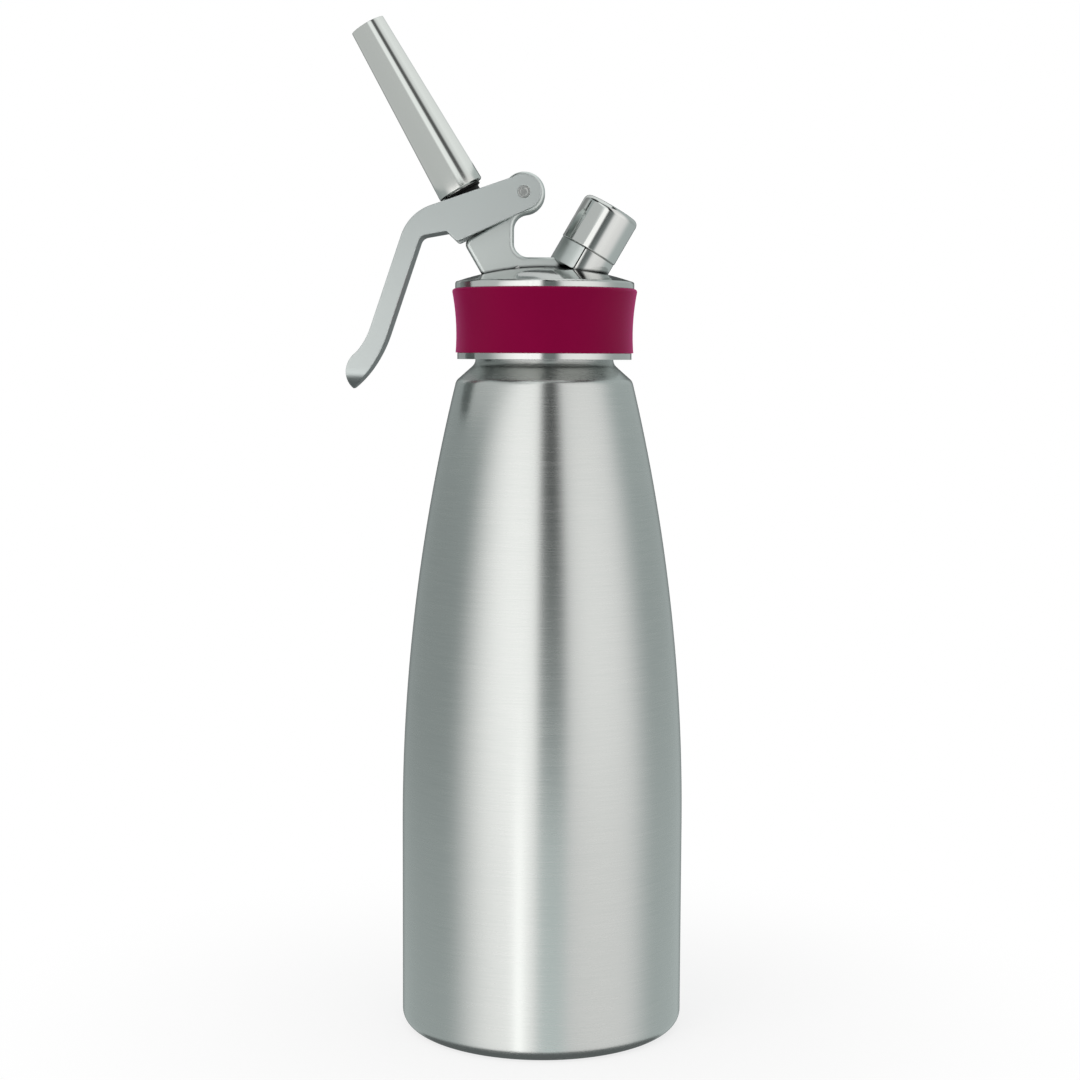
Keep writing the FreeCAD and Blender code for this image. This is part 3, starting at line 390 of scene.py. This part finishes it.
@dataclass(frozen=True)
class CastHeadMetal:
    """Cast aluminium head: satin flat post and pad, buffed bright dome, rims and charger boss."""

    satin: PolishedMetal
    bright: PolishedMetal
    post_half: float                # m, half of the post's thickness
    housing: tuple[float, float]    # m, X and Z of a point on the housing's outer side
    boss: tuple[float, float]       # m, X and Z of a point on the boss's inner side
    pad_end: tuple[float, float]    # m, X and Z of a point on the far side of the boss's pad
    pad_foot: float                 # m, height of the pad's foot
    slack: float = 0.05 * MM        # by which the satin passes the post's face
    painted_line_half: float = 0.22 * MM         # half of the painted dark line of shade that edges the pad

    def make(self) -> bpy.types.Material:
        """Build the material: satin on the post's slab and on the pad, a painted dark line of shade round the pad,
        else bright.
        """
        material, tree, output = new_material("cast aluminium, satin and buffed")
        spot = add_node(tree, "ShaderNodeTexCoord").outputs["Object"]
        apart = add_node(tree, "ShaderNodeSeparateXYZ", links={0: spot})
        height = apart.outputs["Z"]
        depth = math_node(tree, "ABSOLUTE", apart.outputs["Y"])
        over_valve, housing = self.across(tree, spot, Axis.VALVE), self.limit(Axis.VALVE, self.housing)
        over_port, boss = self.across(tree, spot, Axis.CHARGER), self.limit(Axis.CHARGER, self.boss)
        pad_end = self.limit(Axis.CHARGER, self.pad_end)
        before_end = math_node(tree, "LESS_THAN", over_port, pad_end)
        on_boss = math_node(tree, "GREATER_THAN", over_port, boss)
        above_foot = math_node(tree, "GREATER_THAN", height, self.pad_foot)
        slab = self.product(tree, math_node(tree, "LESS_THAN", depth, self.post_half + self.slack),
                            math_node(tree, "GREATER_THAN", over_valve, housing),
                            math_node(tree, "LESS_THAN", over_port, boss))
        pad = self.product(tree, on_boss, before_end, above_foot)
        faces = add_node(tree, "ShaderNodeMixShader", links={
            0: math_node(tree, "MAXIMUM", slab, pad), 1: self.bright.shader(tree).outputs[0],
            2: self.satin.shader(tree).outputs[0]})
        # Painted shade: a thin dark grey line on the pad's upright edge and on its foot, where the flat faces meet
        # the boss and the dome
        upright = self.product(tree, math_node(tree, "COMPARE", over_port, pad_end, self.painted_line_half), above_foot)
        level = self.product(tree, math_node(tree, "COMPARE", height, self.pad_foot, self.painted_line_half), on_boss, before_end)
        dark = add_node(tree, "ShaderNodeBsdfPrincipled", links={
            "Base Color": linear(PAINTED_SHADE), "Metallic": 1.0, "Roughness": 0.5})
        with_painted_lines = add_node(tree, "ShaderNodeMixShader", links={
            0: math_node(tree, "MAXIMUM", upright, level), 1: faces.outputs[0], 2: dark.outputs[0]})
        tree.links.new(with_painted_lines.outputs[0], output.inputs[0])
        return material

    def product(self, tree: bpy.types.NodeTree, *masks: bpy.types.NodeSocket) -> bpy.types.NodeSocket:
        """Place where all the masks are one."""
        found = masks[0]
        for mask in masks[1:]:
            found = math_node(tree, "MULTIPLY", found, mask)
        return found

    def across(self, tree: bpy.types.NodeTree, spot: bpy.types.NodeSocket, axis: Axis) -> bpy.types.NodeSocket:
        """Distance across a tilted axis: the dot product of the place and that direction."""
        return add_node(tree, "ShaderNodeVectorMath", {"operation": "DOT_PRODUCT"}, {
            0: spot, 1: axis.across}).outputs["Value"]

    def limit(self, axis: Axis, point: tuple[float, float]) -> float:
        """Distance across a tilted axis of a point given by X and Z."""
        return point[0] * axis.across[0] + point[1] * axis.across[2]


@dataclass(frozen=True)
class TurnedMetal:
    """Metal from the lathe: fine rings across its axis, which break the light up into thin lines."""

    name: str
    colour: str
    axis: Axis
    feed: float = 0.35              # mm between rings; the real feed is about 0.1 mm
    roughness: float = 0.26
    haze: float = 0.06
    depth: float = 0.004            # mm, height of the rings

    def make(self) -> bpy.types.Material:
        """Build the material: height = sin(turn * distance along the axis / feed)."""
        material, tree, output = new_material(f"{self.name} {self.axis.name.lower()}")
        spot = add_node(tree, "ShaderNodeTexCoord").outputs["Object"]
        along = add_node(tree, "ShaderNodeVectorMath", {"operation": "DOT_PRODUCT"}, {
            0: spot, 1: self.axis.value})
        phase = math_node(tree, "MULTIPLY", along.outputs["Value"], TURN / (self.feed * MM))
        rings = math_node(tree, "SINE", phase)
        noise = add_node(tree, "ShaderNodeTexNoise", links={"Vector": spot, "Scale": 1 / (2 * MM)})
        bump = add_node(tree, "ShaderNodeBump", links={
            "Height": rings, "Strength": 0.4, "Distance": self.depth * MM})
        rough = add_node(tree, "ShaderNodeMapRange", links={
            "Value": noise.outputs["Fac"],
            "To Min": self.roughness - self.haze, "To Max": self.roughness + self.haze})
        metal = add_node(tree, "ShaderNodeBsdfPrincipled", links={
            "Base Color": linear(self.colour), "Metallic": 1.0, "Roughness": rough.outputs[0],
            "Normal": bump.outputs[0]})
        tree.links.new(metal.outputs[0], output.inputs[0])
        return material


@dataclass(frozen=True)
class MouldedRubber:
    """Moulded rubber: a faint orange-peel skin that blurs the light, and a soft sheen at the edges."""

    name: str
    colour: str
    roughness: float
    sheen: float
    sheen_colour: str
    gloss: float = 0.5              # share of the plain reflection that the skin keeps
    skin: float = 0.6               # mm, size of the orange peel; the real one, about 0.2 mm, is too fine
    cloud: float = 12               # mm, size of the uneven tone
    haze: float = 0.05
    depth: float = 0.01             # mm, height of the orange peel

    def make(self) -> bpy.types.Material:
        """Build the material: noise at the size of the skin lifts it and varies tone and gloss."""
        material, tree, output = new_material(self.name)
        spot = add_node(tree, "ShaderNodeTexCoord").outputs["Object"]
        skin = add_node(tree, "ShaderNodeTexNoise", links={
            "Vector": spot, "Scale": 1 / (self.skin * MM), "Detail": 2.0})
        cloud = add_node(tree, "ShaderNodeTexNoise", links={
            "Vector": spot, "Scale": 1 / (self.cloud * MM), "Detail": 2.0})
        bump = add_node(tree, "ShaderNodeBump", links={
            "Height": skin.outputs["Fac"], "Strength": 0.3, "Distance": self.depth * MM})
        rough = add_node(tree, "ShaderNodeMapRange", links={
            "Value": skin.outputs["Fac"],
            "To Min": self.roughness - self.haze, "To Max": self.roughness + self.haze})
        shade = add_node(tree, "ShaderNodeMapRange", links={
            "Value": cloud.outputs["Fac"], "To Min": 0.94, "To Max": 1.06})
        tone = add_node(tree, "ShaderNodeHueSaturation", links={
            "Color": linear(self.colour), "Value": shade.outputs[0]})
        rubber = add_node(tree, "ShaderNodeBsdfPrincipled", links={
            "Base Color": tone.outputs[0], "Roughness": rough.outputs[0], "IOR": 1.41,
            "Specular IOR Level": self.gloss, "Specular Tint": linear(self.sheen_colour),
            "Sheen Weight": self.sheen, "Sheen Roughness": 0.4, "Sheen Tint": linear(self.sheen_colour),
            "Normal": bump.outputs[0]})
        tree.links.new(rubber.outputs[0], output.inputs[0])
        return material


def dress(material: bpy.types.Material, *nodes: str) -> None:
    """Give carried-over CAD nodes their finish.

    Args:
        material: the finish.
        nodes: names of the nodes.
    """
    for name in nodes:
        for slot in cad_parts[name].material_slots:
            slot.material = material
        LOG.info("node %s: %s", name, material.name)


def place(piece: bpy.types.Object, material: bpy.types.Material, body: str) -> bpy.types.Object:
    """Finish a new piece.

    Args:
        piece: the object.
        material: its finish.
        body: CAD body that carries it.

    Returns:
        The same object.
    """
    piece.data.materials.append(material)
    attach(piece, body)
    LOG.info("piece %s: %d faces, %s", piece.name, len(piece.data.polygons), material.name)
    return piece


@dataclass
class Bottle:
    """Drawn steel bottle with its rolled neck thread."""

    wall: float = 1.0 * MM
    base_corner: float = 4.5 * MM
    straight_height: float = 70 * MM
    taper_radius: float = 642 * MM
    shoulder_height: float = 222.5 * MM
    neck_foot: float = 228.3 * MM
    neck_radius: float = 23.5 * MM
    shoulder_round: float = 3.2 * MM
    thread_depth: float = 0.9 * MM
    thread_pitch: float = 4.0 * MM
    thread_lead: float = 5 * MM     # from the neck's foot to the first turn
    thread_end: float = 3 * MM      # from the last turn to the rim
    seam_gap: float = 0.2 * MM      # kept before a rounded corner
    columns: int = 224

    @property
    def thread_foot(self) -> float:
        """Height at which the neck's thread starts."""
        return self.neck_foot + self.thread_lead

    def outline(self) -> np.ndarray:
        """Outer half profile: base corner, straight wall, long arc, rounded cone and neck.

        Returns:
            Points (r, z) from the base's centre to the rim.
        """
        low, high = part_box("bottle")
        radius, top = high.x, high.z
        corner = arc((radius - self.base_corner, self.base_corner), self.base_corner, -90, 0, 14)
        sweep = math.degrees(math.asin((self.shoulder_height - self.straight_height) / self.taper_radius))
        taper = arc((radius - self.taper_radius, self.straight_height), self.taper_radius, 0, sweep, 90)
        foot = np.array([self.neck_radius, self.neck_foot])
        shoulder = rounded_corner(taper[-2], taper[-1], foot, self.shoulder_round)
        neck = rounded_corner(taper[-1], foot, foot + [0, self.shoulder_round], self.shoulder_round)
        taper = taper[taper[:, 1] < shoulder[0, 1] - self.seam_gap]
        floor = np.stack([np.linspace(0, corner[0, 0] - 1 * MM, 10), np.zeros(10)], 1)
        straight = np.linspace(6 * MM, self.straight_height - 2 * MM, 6)
        straight = np.stack([np.full(6, radius), straight], 1)
        collar = np.linspace(neck[-1, 1] + MM, top - self.wall / 2, 8)
        collar = np.stack([np.full(8, self.neck_radius), collar], 1)
        return np.concatenate([floor, corner, straight, taper, shoulder, neck, collar])

    def shell(self) -> bpy.types.Object:
        """Steel wall: the outline, a half-round rim, and the same outline moved in by the wall."""
        outer = self.outline()
        way = np.gradient(outer, axis=0)
        way /= np.linalg.norm(way, axis=1, keepdims=True)
        inner = outer + self.wall * np.stack([-way[:, 1], way[:, 0]], 1)
        inner[0] = (0.0, self.wall)
        inner[:, 0] = np.maximum(inner[:, 0], 0)
        rim = arc((self.neck_radius - self.wall / 2, outer[-1, 1]), self.wall / 2, 0, 180, 9)[1:-1]
        return lathe("bottle_shell", np.concatenate([outer, rim, inner[::-1]]), self.columns)

    def neck_thread(self) -> bpy.types.Object:
        """Rolled thread on the neck, right-handed."""
        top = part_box("bottle")[1].z - self.thread_end
        return Thread("neck_thread", self.neck_radius, self.thread_depth, self.thread_foot, top,
                      self.thread_pitch).build()

    def build(self) -> None:
        """Make and dress the bottle's pieces."""
        steel = BrushedStainless().make()
        shell = place(self.shell(), steel, "bottle")
        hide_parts("bottle")
        # Rolling leaves the ridges bright, a little softer than a polished face
        bright = PolishedMetal(name="rolled stainless thread", roughness=0.2, haze=0.05).make()
        place(self.neck_thread(), bright, "bottle")


@dataclass
class Head:
    """Cast head with its skirt thread, seal, crimson sleeve and the parts in its bores."""

    post_half: float = 5.6 * MM
    skirt_bore: float = 24.8 * MM
    thread_depth: float = 0.9 * MM
    thread_pitch: float = 4.0 * MM
    thread_lead: float = 3.5 * MM   # from the skirt's foot to the first turn
    thread_end: float = 3 * MM      # from the last turn to the gasket
    housing_half: float = 8.1 * MM
    housing_slack: float = 0.05 * MM
    boss_radius: float = 9.9 * MM
    pad_width: float = 8.7 * MM
    pad_foot: float = 260.3 * MM
    stud_radius: float = 8.6 * MM
    stud_height: float = 13.0 * MM
    stud_depth: float = 0.22 * MM
    stud_pitch: float = 1.6 * MM
    stud_lead: float = 1.5 * MM
    stud_end: float = 1.2 * MM
    contact: tuple[float, float] = (-22.582 * MM, 276.65 * MM)
    port: tuple[float, float] = (14.56 * MM, 266.4 * MM)

    def skirt_thread(self) -> bpy.types.Object:
        """Thread inside the skirt, half a pitch away from the neck's, so the two are in mesh."""
        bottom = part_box("head_cap")[0].z + self.thread_lead
        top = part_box("head_gasket")[0].z - self.thread_end
        return Thread("skirt_thread", self.skirt_bore, -self.thread_depth, bottom, top, self.thread_pitch,
                      self.mesh_phase(bottom)).build()

    def mesh_phase(self, bottom: float) -> float:
        """Angle that puts the skirt's helix half a pitch from the neck's: both rise pitch a / turn."""
        return -TURN * ((Bottle().thread_foot - bottom) / self.thread_pitch + 0.5)

    def stud_thread(self) -> bpy.types.Object:
        """Fine thread on the charger stud, made upright and then laid on the charger's axis."""
        ridge = Thread("stud_thread", self.stud_radius, self.stud_depth, self.stud_lead,
                       self.stud_height - self.stud_end, self.stud_pitch)
        return laid(ridge.build(), self.port, Axis.CHARGER)

    def casting(self) -> bpy.types.Material:
        """Finish of the casting, with its borders placed on the post, the housing and the boss."""
        # Fine blasting gives the flat faces an even grey; buffing leaves the round ones close to a mirror
        # Both finishes darken their inner corners with painted shade
        satin = PolishedMetal("satin", "#cbd0ce", 0.36, 0.03, 0.4, 0.002, painted_shade_width=1.5)
        bright = PolishedMetal("buffed", "#cdcecc", 0.1, 0.04, painted_shade_width=1.5)
        boss = Axis.CHARGER.beside(self.port, -self.boss_radius)
        housing = Axis.VALVE.beside(self.contact, -self.housing_half - self.housing_slack)
        pad_end = Axis.CHARGER.beside(boss, self.pad_width)
        return CastHeadMetal(satin, bright, self.post_half, housing, boss, pad_end, self.pad_foot).make()

    def build(self) -> None:
        """Make and dress the head's pieces."""
        dress(self.casting(), "head_cap")
        # A cutting tool leaves the flanks brighter than the casting, with a soft blur
        cut = PolishedMetal(name="cut aluminium thread", roughness=0.22, haze=0.05).make()
        place(self.skirt_thread(), cut, "head")
        place(self.stud_thread(), cut, "head")
        # Silicone: deep crimson, hardly glossy, with a magenta bloom where it turns away
        silicone = MouldedRubber("crimson moulded silicone", "#7a0834", 0.45, 0.55, "#ff3cae", 0.12)
        dress(silicone.make(), "grip_sleeve")
        # Ground pin: small sharp highlight
        dress(PolishedMetal(name="polished pin steel", roughness=0.16, haze=0.04, edge=0.25).make(), "pivot_pin")
        nitrile = MouldedRubber("moulded nitrile rubber", "#232323", 0.55, 0.1, "#808080").make()
        dress(nitrile, "head_gasket", "stem_seal", "charger_gasket", "inlet_valve", "tip_washer", "poppet_seal")
        for axis, node in ((Axis.VALVE, "guide_bush"), (Axis.CHARGER, "needle_carrier")):
            dress(TurnedMetal("turned brass", "#dcb46c", axis).make(), node)
        dress(TurnedMetal("turned stainless steel", "#c8c8c6", Axis.CHARGER).make(),
              "piercing_needle", "inlet_retainer")
        # Drawn wire: even, half-bright, with one soft line of light along each coil
        wire = PolishedMetal(name="drawn spring wire", colour="#c0c0bd", roughness=0.24, haze=0.05, edge=0.1)
        dress(wire.make(), "valve_spring")


@dataclass
class Valve:
    """Stem, adapter, poppet and seat, with the mirror polished tip."""

    adapter_radius: float = 5.5 * MM
    sleeve_wall: float = 0.3 * MM
    sleeve_foot: float = 3.2 * MM
    lip_foot: float = 10.5 * MM
    lip_top: float = 11.45 * MM
    lip_radius: float = 6.7 * MM
    step: float = 0.1 * MM          # broken corners
    grip: float = 0.05 * MM         # by which the sleeve is stretched on

    def adapter_shade_sleeve(self) -> bpy.types.Object:
        """Thin black sleeve round the adapter, with the round lip that the tip seats on: painted shade, a dark piece
        that stands in for the shade in the gap under the tip.
        """
        inner, outer = self.adapter_radius - self.grip, self.adapter_radius + self.sleeve_wall
        half = (self.lip_top - self.lip_foot) / 2
        lip = arc((self.lip_radius - half, self.lip_foot + half), half, -90, 90, 13)
        start = np.array([[inner, self.sleeve_foot], [outer - self.step, self.sleeve_foot],
                          [outer, self.sleeve_foot + self.step], [outer, self.lip_foot - self.step]])
        profile = np.concatenate([start, lip, [[inner, self.lip_top]]])
        return laid(lathe("adapter_shade_sleeve", profile, 96), Head().contact, Axis.VALVE)

    def build(self) -> None:
        """Make the black shade sleeve and dress the valve's nodes and the tip."""
        # Painted shade: a black sleeve where the gap between tip and lever lies in shade; the adapter itself is
        # steel
        shade_sleeve_finish = MouldedRubber("black painted shade sleeve", "#1c1c1c", 0.5, 0.05, "#808080", 0.3).make()
        place(self.adapter_shade_sleeve(), shade_sleeve_finish, "valve")
        turned = TurnedMetal("turned stainless steel", "#c8c8c6", Axis.VALVE).make()
        dress(turned, "valve_seat", "valve_stem", "tip_adapter", "poppet")
        # Mirror polish: the studio shows in it as clean stripes along the tip
        dress(PolishedMetal(colour="#d2d3d0", roughness=0.09, edge=0.3).make(), "decorator_tip")


@dataclass
class Controls:
    """Hand lever and the screw cap on the charger port."""

    def build(self) -> None:
        """Dress the lever and the cap."""
        # Fine blasting: an even, soft grey with no clear reflection
        # Its inner corners darken with painted shade
        lever = PolishedMetal("satin cast aluminium lever", "#c5cac9", 0.36, 0.03, 0.4, 0.002, 0.5, 1.2)
        dress(lever.make(), "lever")
        # Mirror polish over a turned cap: crisp stripes that bend round its top edge
        dress(PolishedMetal(name="mirror polished cap", roughness=0.08, edge=0.3).make(), "port_cap")


@dataclass(frozen=True)
class Card:
    """Curved studio card, seen only in reflections: a flag when dark, a soft light when bright."""

    name: str
    start: float                    # degrees from the camera's side, towards +X
    end: float
    tones: tuple[tuple[float, float], ...]  # height in m and tone there
    fade_start: float               # share of the width over which the card fades in
    fade_end: float
    tint: tuple[float, float, float] = (1.0, 1.0, 0.99)
    low: float = -0.9               # m
    high: float = 1.9
    radius: float = 1.3

    def make(self) -> bpy.types.Object:
        """Build the card: x = R sin a, y = -R cos a, z from low to high."""
        angle = np.radians(np.linspace(self.start, self.end, 40))
        across, up = np.meshgrid(angle, np.linspace(self.low, self.high, 40))
        points = np.stack([self.radius * np.sin(across), -self.radius * np.cos(across), up], 2)
        card = surface(self.name, points, ring=False)
        card.data.materials.append(self.paper())
        hide_card(card)
        return card

    def paper(self) -> bpy.types.Material:
        """Build the card's tone up its height, faded at its two upright edges by its UV map."""
        material, tree, output = new_material(f"{self.name} paper")
        uv = add_node(tree, "ShaderNodeUVMap", {"uv_map": "surface"})
        apart = add_node(tree, "ShaderNodeSeparateXYZ", links={0: uv.outputs[0]})
        smooth = {"interpolation_type": "SMOOTHSTEP"}
        rise = add_node(tree, "ShaderNodeMapRange", smooth, {
            "Value": apart.outputs["X"], "From Max": self.fade_start})
        fall = add_node(tree, "ShaderNodeMapRange", smooth, {
            "Value": apart.outputs["X"], "From Min": 1.0, "From Max": 1 - self.fade_end})
        shown = math_node(tree, "MULTIPLY", rise.outputs[0], fall.outputs[0])
        clear = add_node(tree, "ShaderNodeBsdfTransparent")
        tone = glow(tree, apart.outputs["Y"], self.tones, (self.low, self.high), self.tint)
        both = add_node(tree, "ShaderNodeMixShader", links={
            0: shown, 1: clear.outputs[0], 2: tone.outputs[0]})
        tree.links.new(both.outputs[0], output.inputs[0])
        return material


def glow(tree: bpy.types.NodeTree, share: bpy.types.NodeSocket, tones: tuple[tuple[float, float], ...],
         span: tuple[float, float], tint: tuple[float, float, float]) -> bpy.types.Node:
    """Light of a card, in tones that change evenly between the places named.

    Args:
        tree: node tree that gets the nodes.
        share: socket that runs from nothing to one over the span.
        tones: place within the span, and the tone there; at most 32 of them.
        span: the first and last place.
        tint: colour of the paper.

    Returns:
        The emission node.
    """
    ramp = add_node(tree, "ShaderNodeValToRGB", links={"Fac": share})
    brightest = max(tone for _, tone in tones)
    stops = ramp.color_ramp.elements
    for number, (spot, tone) in enumerate(tones):
        part = (spot - span[0]) / (span[1] - span[0])
        stop = stops[number] if number < 2 else stops.new(part)
        stop.position = part
        stop.color = (*(channel * tone / brightest for channel in tint), 1.0)
    return add_node(tree, "ShaderNodeEmission", links={"Color": ramp.outputs["Color"], "Strength": brightest})


@dataclass(frozen=True)
class Tent:
    """Round light tent on a tilted axis, seen only in reflections, for a mirror polished tube."""

    name: str
    origin: tuple[float, float]     # m, X and Z of the axis's zero point
    axis: Axis
    radius: float                   # m
    low: float                      # m along the axis
    high: float
    tones: tuple[tuple[float, float], ...]  # degrees round from the camera's side, and tone there
    tint: tuple[float, float, float] = (0.96, 1.0, 0.99)

    def make(self) -> bpy.types.Object:
        """Build the tent: x = R sin a, y = -R cos a about its axis, for a from -180 to 180 degrees."""
        around, along = np.meshgrid(np.radians(np.linspace(-180, 180, 145)), [self.low, self.high])
        points = np.stack([self.radius * np.sin(around), -self.radius * np.cos(around), along], 2)
        tent = laid(surface(self.name, points, ring=False), self.origin, self.axis)
        material, tree, output = new_material(f"{self.name} cloth")
        uv = add_node(tree, "ShaderNodeSeparateXYZ", links={
            0: add_node(tree, "ShaderNodeUVMap", {"uv_map": "surface"}).outputs[0]})
        tone = glow(tree, uv.outputs["X"], self.tones, (-180, 180), self.tint)
        tree.links.new(tone.outputs[0], output.inputs[0])
        tent.data.materials.append(material)
        hide_card(tent)
        return tent


def hide_card(card: bpy.types.Object) -> None:
    """Leave a card to reflections only, and to the stage."""
    card.visible_camera = card.visible_diffuse = card.visible_shadow = False


@dataclass
class Studio:
    """Plain pale floor, white background, soft light, reflector cards and the photograph's camera."""

    floor_radius: float = 1.25
    floor_height: float = -0.02 * MM
    floor_white: float = 0.75       # share of plain white under the object, where the shadow shows most
    fade_near: float = 0.06         # m from the middle, where the floor starts to fade to white
    fade_far: float = 0.22
    flag_radius: float = 1.35       # m
    lamp_place: tuple[float, float, float] = (-0.8, -0.9, 1.2)
    lamp_turn: tuple[float, float, float] = (math.radians(45), 0, math.radians(-41))
    lamp_size: float = 0.9          # m
    lamp_power: float = 4.0         # W
    soft_level: float = 0.85
    camera_place: tuple[float, float, float] = (-1.2 * MM, -705 * MM, 232.3 * MM)
    camera_down: float = 5.213      # degrees
    camera_roll: float = 0.27       # degrees
    lens: float = 68.69             # mm on a 36 mm sensor

    def cards(self) -> list[Card]:
        """Reflector cards: grey sides, two bright soft boxes, and dark flags in front and behind."""
        cool = (0.9, 1.0, 0.99)
        return [
            Card("left_flag", -166, -30, ((-0.4, 0.56), (-0.1, 0.42), (0.3, 0.4), (0.9, 0.52)), 0.04, 0.42, cool),
            Card("right_flag", 62, 166, ((-0.4, 0.62), (0.15, 0.5), (0.6, 0.6)), 0.42, 0.04, cool, radius=1.29),
            Card("left_light", -80, -3, ((-0.4, 1.33), (0.0, 1.48), (0.4, 1.5), (1.2, 1.3)), 0.7, 0.05,
                 radius=1.27),
            Card("left_slit", -25, -11, ((-0.4, 2.2), (-0.1, 1.8), (0.05, 1.5), (0.4, 1.5), (1.2, 1.3)),
                 0.5, 0.5, radius=1.265),
            Card("right_light", 14, 92, ((-0.4, 0.98), (0.1, 1.22), (0.5, 1.2), (1.0, 1.0)), 0.34, 0.6,
                 radius=1.26),
            Card("front_flag", -6, 25, ((-0.45, 0.95), (-0.2, 0.8), (-0.1, 0.62), (0.0, 0.42), (0.3, 0.2),
                                        (0.6, 0.02)), 0.2, 0.42, cool, radius=1.25),
            Card("back_flag", 150, 210, ((-0.4, 0.2), (0.25, 0.1)), 0.3, 0.3, cool, radius=1.24),
        ]

    def tent(self) -> Tent:
        """Light tent round the tip, clear of the object: flat grey, a white and a dark stripe."""
        return Tent("tip_tent", Head().contact, Axis.VALVE, 120 * MM, 30 * MM, 260 * MM, (
            (-180, 0.3), (-152, 0.36), (-135, 0.68), (3, 0.7), (11, 1.25), (28, 1.15), (35, 0.16), (47, 0.12),
            (58, 0.9), (80, 1.12), (130, 1.0), (160, 0.72), (180, 0.5)))

    def flag_disc(self, name: str, height: float, tone: float) -> bpy.types.Object:
        """Dark disc above or below the scene, seen only in reflections, that shades what faces it.

        Args:
            name: name of the disc.
            height: its height in metres.
            tone: its grey.

        Returns:
            The disc.
        """
        flag = disc(name, self.flag_radius, height, 8, 64)
        material, tree, output = new_material(f"{name} paper")
        paper = add_node(tree, "ShaderNodeEmission", links={"Color": (tone, tone * 1.1, tone * 1.1, 1.0)})
        tree.links.new(paper.outputs[0], output.inputs[0])
        flag.data.materials.append(material)
        hide_card(flag)
        return flag

    def floor(self) -> bpy.types.Object:
        """Pale floor: a disc whose tone fades to the white background away from the object."""
        floor = disc("floor", self.floor_radius, self.floor_height, 30, 96)
        material, tree, output = new_material("pale floor")
        reach = add_node(tree, "ShaderNodeVectorMath", {"operation": "LENGTH"}, {
            0: add_node(tree, "ShaderNodeTexCoord").outputs["Object"]})
        away = add_node(tree, "ShaderNodeMapRange", {"interpolation_type": "SMOOTHSTEP"}, {
            "Value": reach.outputs["Value"], "From Min": self.fade_near, "From Max": self.fade_far,
            "To Min": self.floor_white, "To Max": 1.0})
        white = math_node(tree, "MULTIPLY", self.seen(tree), away.outputs[0])
        matt = add_node(tree, "ShaderNodeBsdfDiffuse", links={"Color": linear("#f6f6f6")})
        bright = add_node(tree, "ShaderNodeEmission", links={"Color": linear("#ffffff"), "Strength": 1.0})
        both = add_node(tree, "ShaderNodeMixShader", links={
            0: white, 1: matt.outputs[0], 2: bright.outputs[0]})
        tree.links.new(both.outputs[0], output.inputs[0])
        floor.data.materials.append(material)
        floor.visible_glossy = False
        return floor

    def seen(self, tree: bpy.types.NodeTree) -> bpy.types.NodeSocket:
        """One for camera, glossy and transmission rays, and nothing for the rest."""
        rays = add_node(tree, "ShaderNodeLightPath").outputs
        two = math_node(tree, "MAXIMUM", rays["Is Camera Ray"], rays["Is Glossy Ray"])
        return math_node(tree, "MAXIMUM", two, rays["Is Transmission Ray"])

    def world(self) -> None:
        """White where it is seen, and an even soft level where it lights."""
        world = bpy.data.worlds.new("studio")
        bpy.context.scene.world = world
        world.use_nodes = True
        tree = world.node_tree
        tree.nodes.clear()
        level = add_node(tree, "ShaderNodeMapRange", links={
            "Value": self.seen(tree), "To Min": self.soft_level, "To Max": 1.0})
        light = add_node(tree, "ShaderNodeBackground", links={
            "Color": linear("#ffffff"), "Strength": level.outputs[0]})
        add_node(tree, "ShaderNodeOutputWorld", links={0: light.outputs[0]})

    def lamp(self) -> None:
        """One large soft lamp, high on the left, for the floor's shadow and the matt parts."""
        light = bpy.data.lights.new("soft_lamp", "AREA")
        light.shape = "RECTANGLE"
        light.size = light.size_y = self.lamp_size
        light.energy = self.lamp_power
        lamp = bpy.data.objects.new("soft_lamp", light)
        lamp.location = self.lamp_place
        lamp.rotation_euler = self.lamp_turn
        lamp.visible_glossy = False
        bpy.context.scene.collection.objects.link(lamp)

    def camera(self) -> None:
        """Camera at the photograph's place, looking along +Y and a little down."""
        data = bpy.data.cameras.new("photo_camera")
        data.lens, data.sensor_width = self.lens, 36
        data.clip_start, data.clip_end = 0.01, 20
        camera = bpy.data.objects.new("photo_camera", data)
        camera.location = self.camera_place
        look = Euler((math.radians(90 - self.camera_down), 0, 0)).to_quaternion()
        roll = Quaternion((0, 0, 1), math.radians(self.camera_roll))
        camera.rotation_euler = (look @ roll).to_euler()
        bpy.context.scene.collection.objects.link(camera)
        bpy.context.scene.camera = camera

    def build(self) -> None:
        """Set the whole studio up."""
        self.world()
        self.lamp()
        self.floor()
        for card in (*self.cards(), self.tent()):
            card.make()
        self.flag_disc("ceiling_flag", 1.9, 0.03)
        self.flag_disc("table_flag", -0.9, 0.15)
        self.camera()
        bpy.context.scene.view_settings.view_transform = "Standard"


def main() -> None:
    """Build the dispenser in order, from the bottle up, and log each part as it is built."""
    logging.basicConfig(level=logging.INFO, format="%(name)s: %(message)s")
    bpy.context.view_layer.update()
    for part in (Bottle(), Head(), Valve(), Controls(), Studio()):
        part.build()
        LOG.info("built %s", type(part).__name__)


if __name__ == "__main__":
    main()
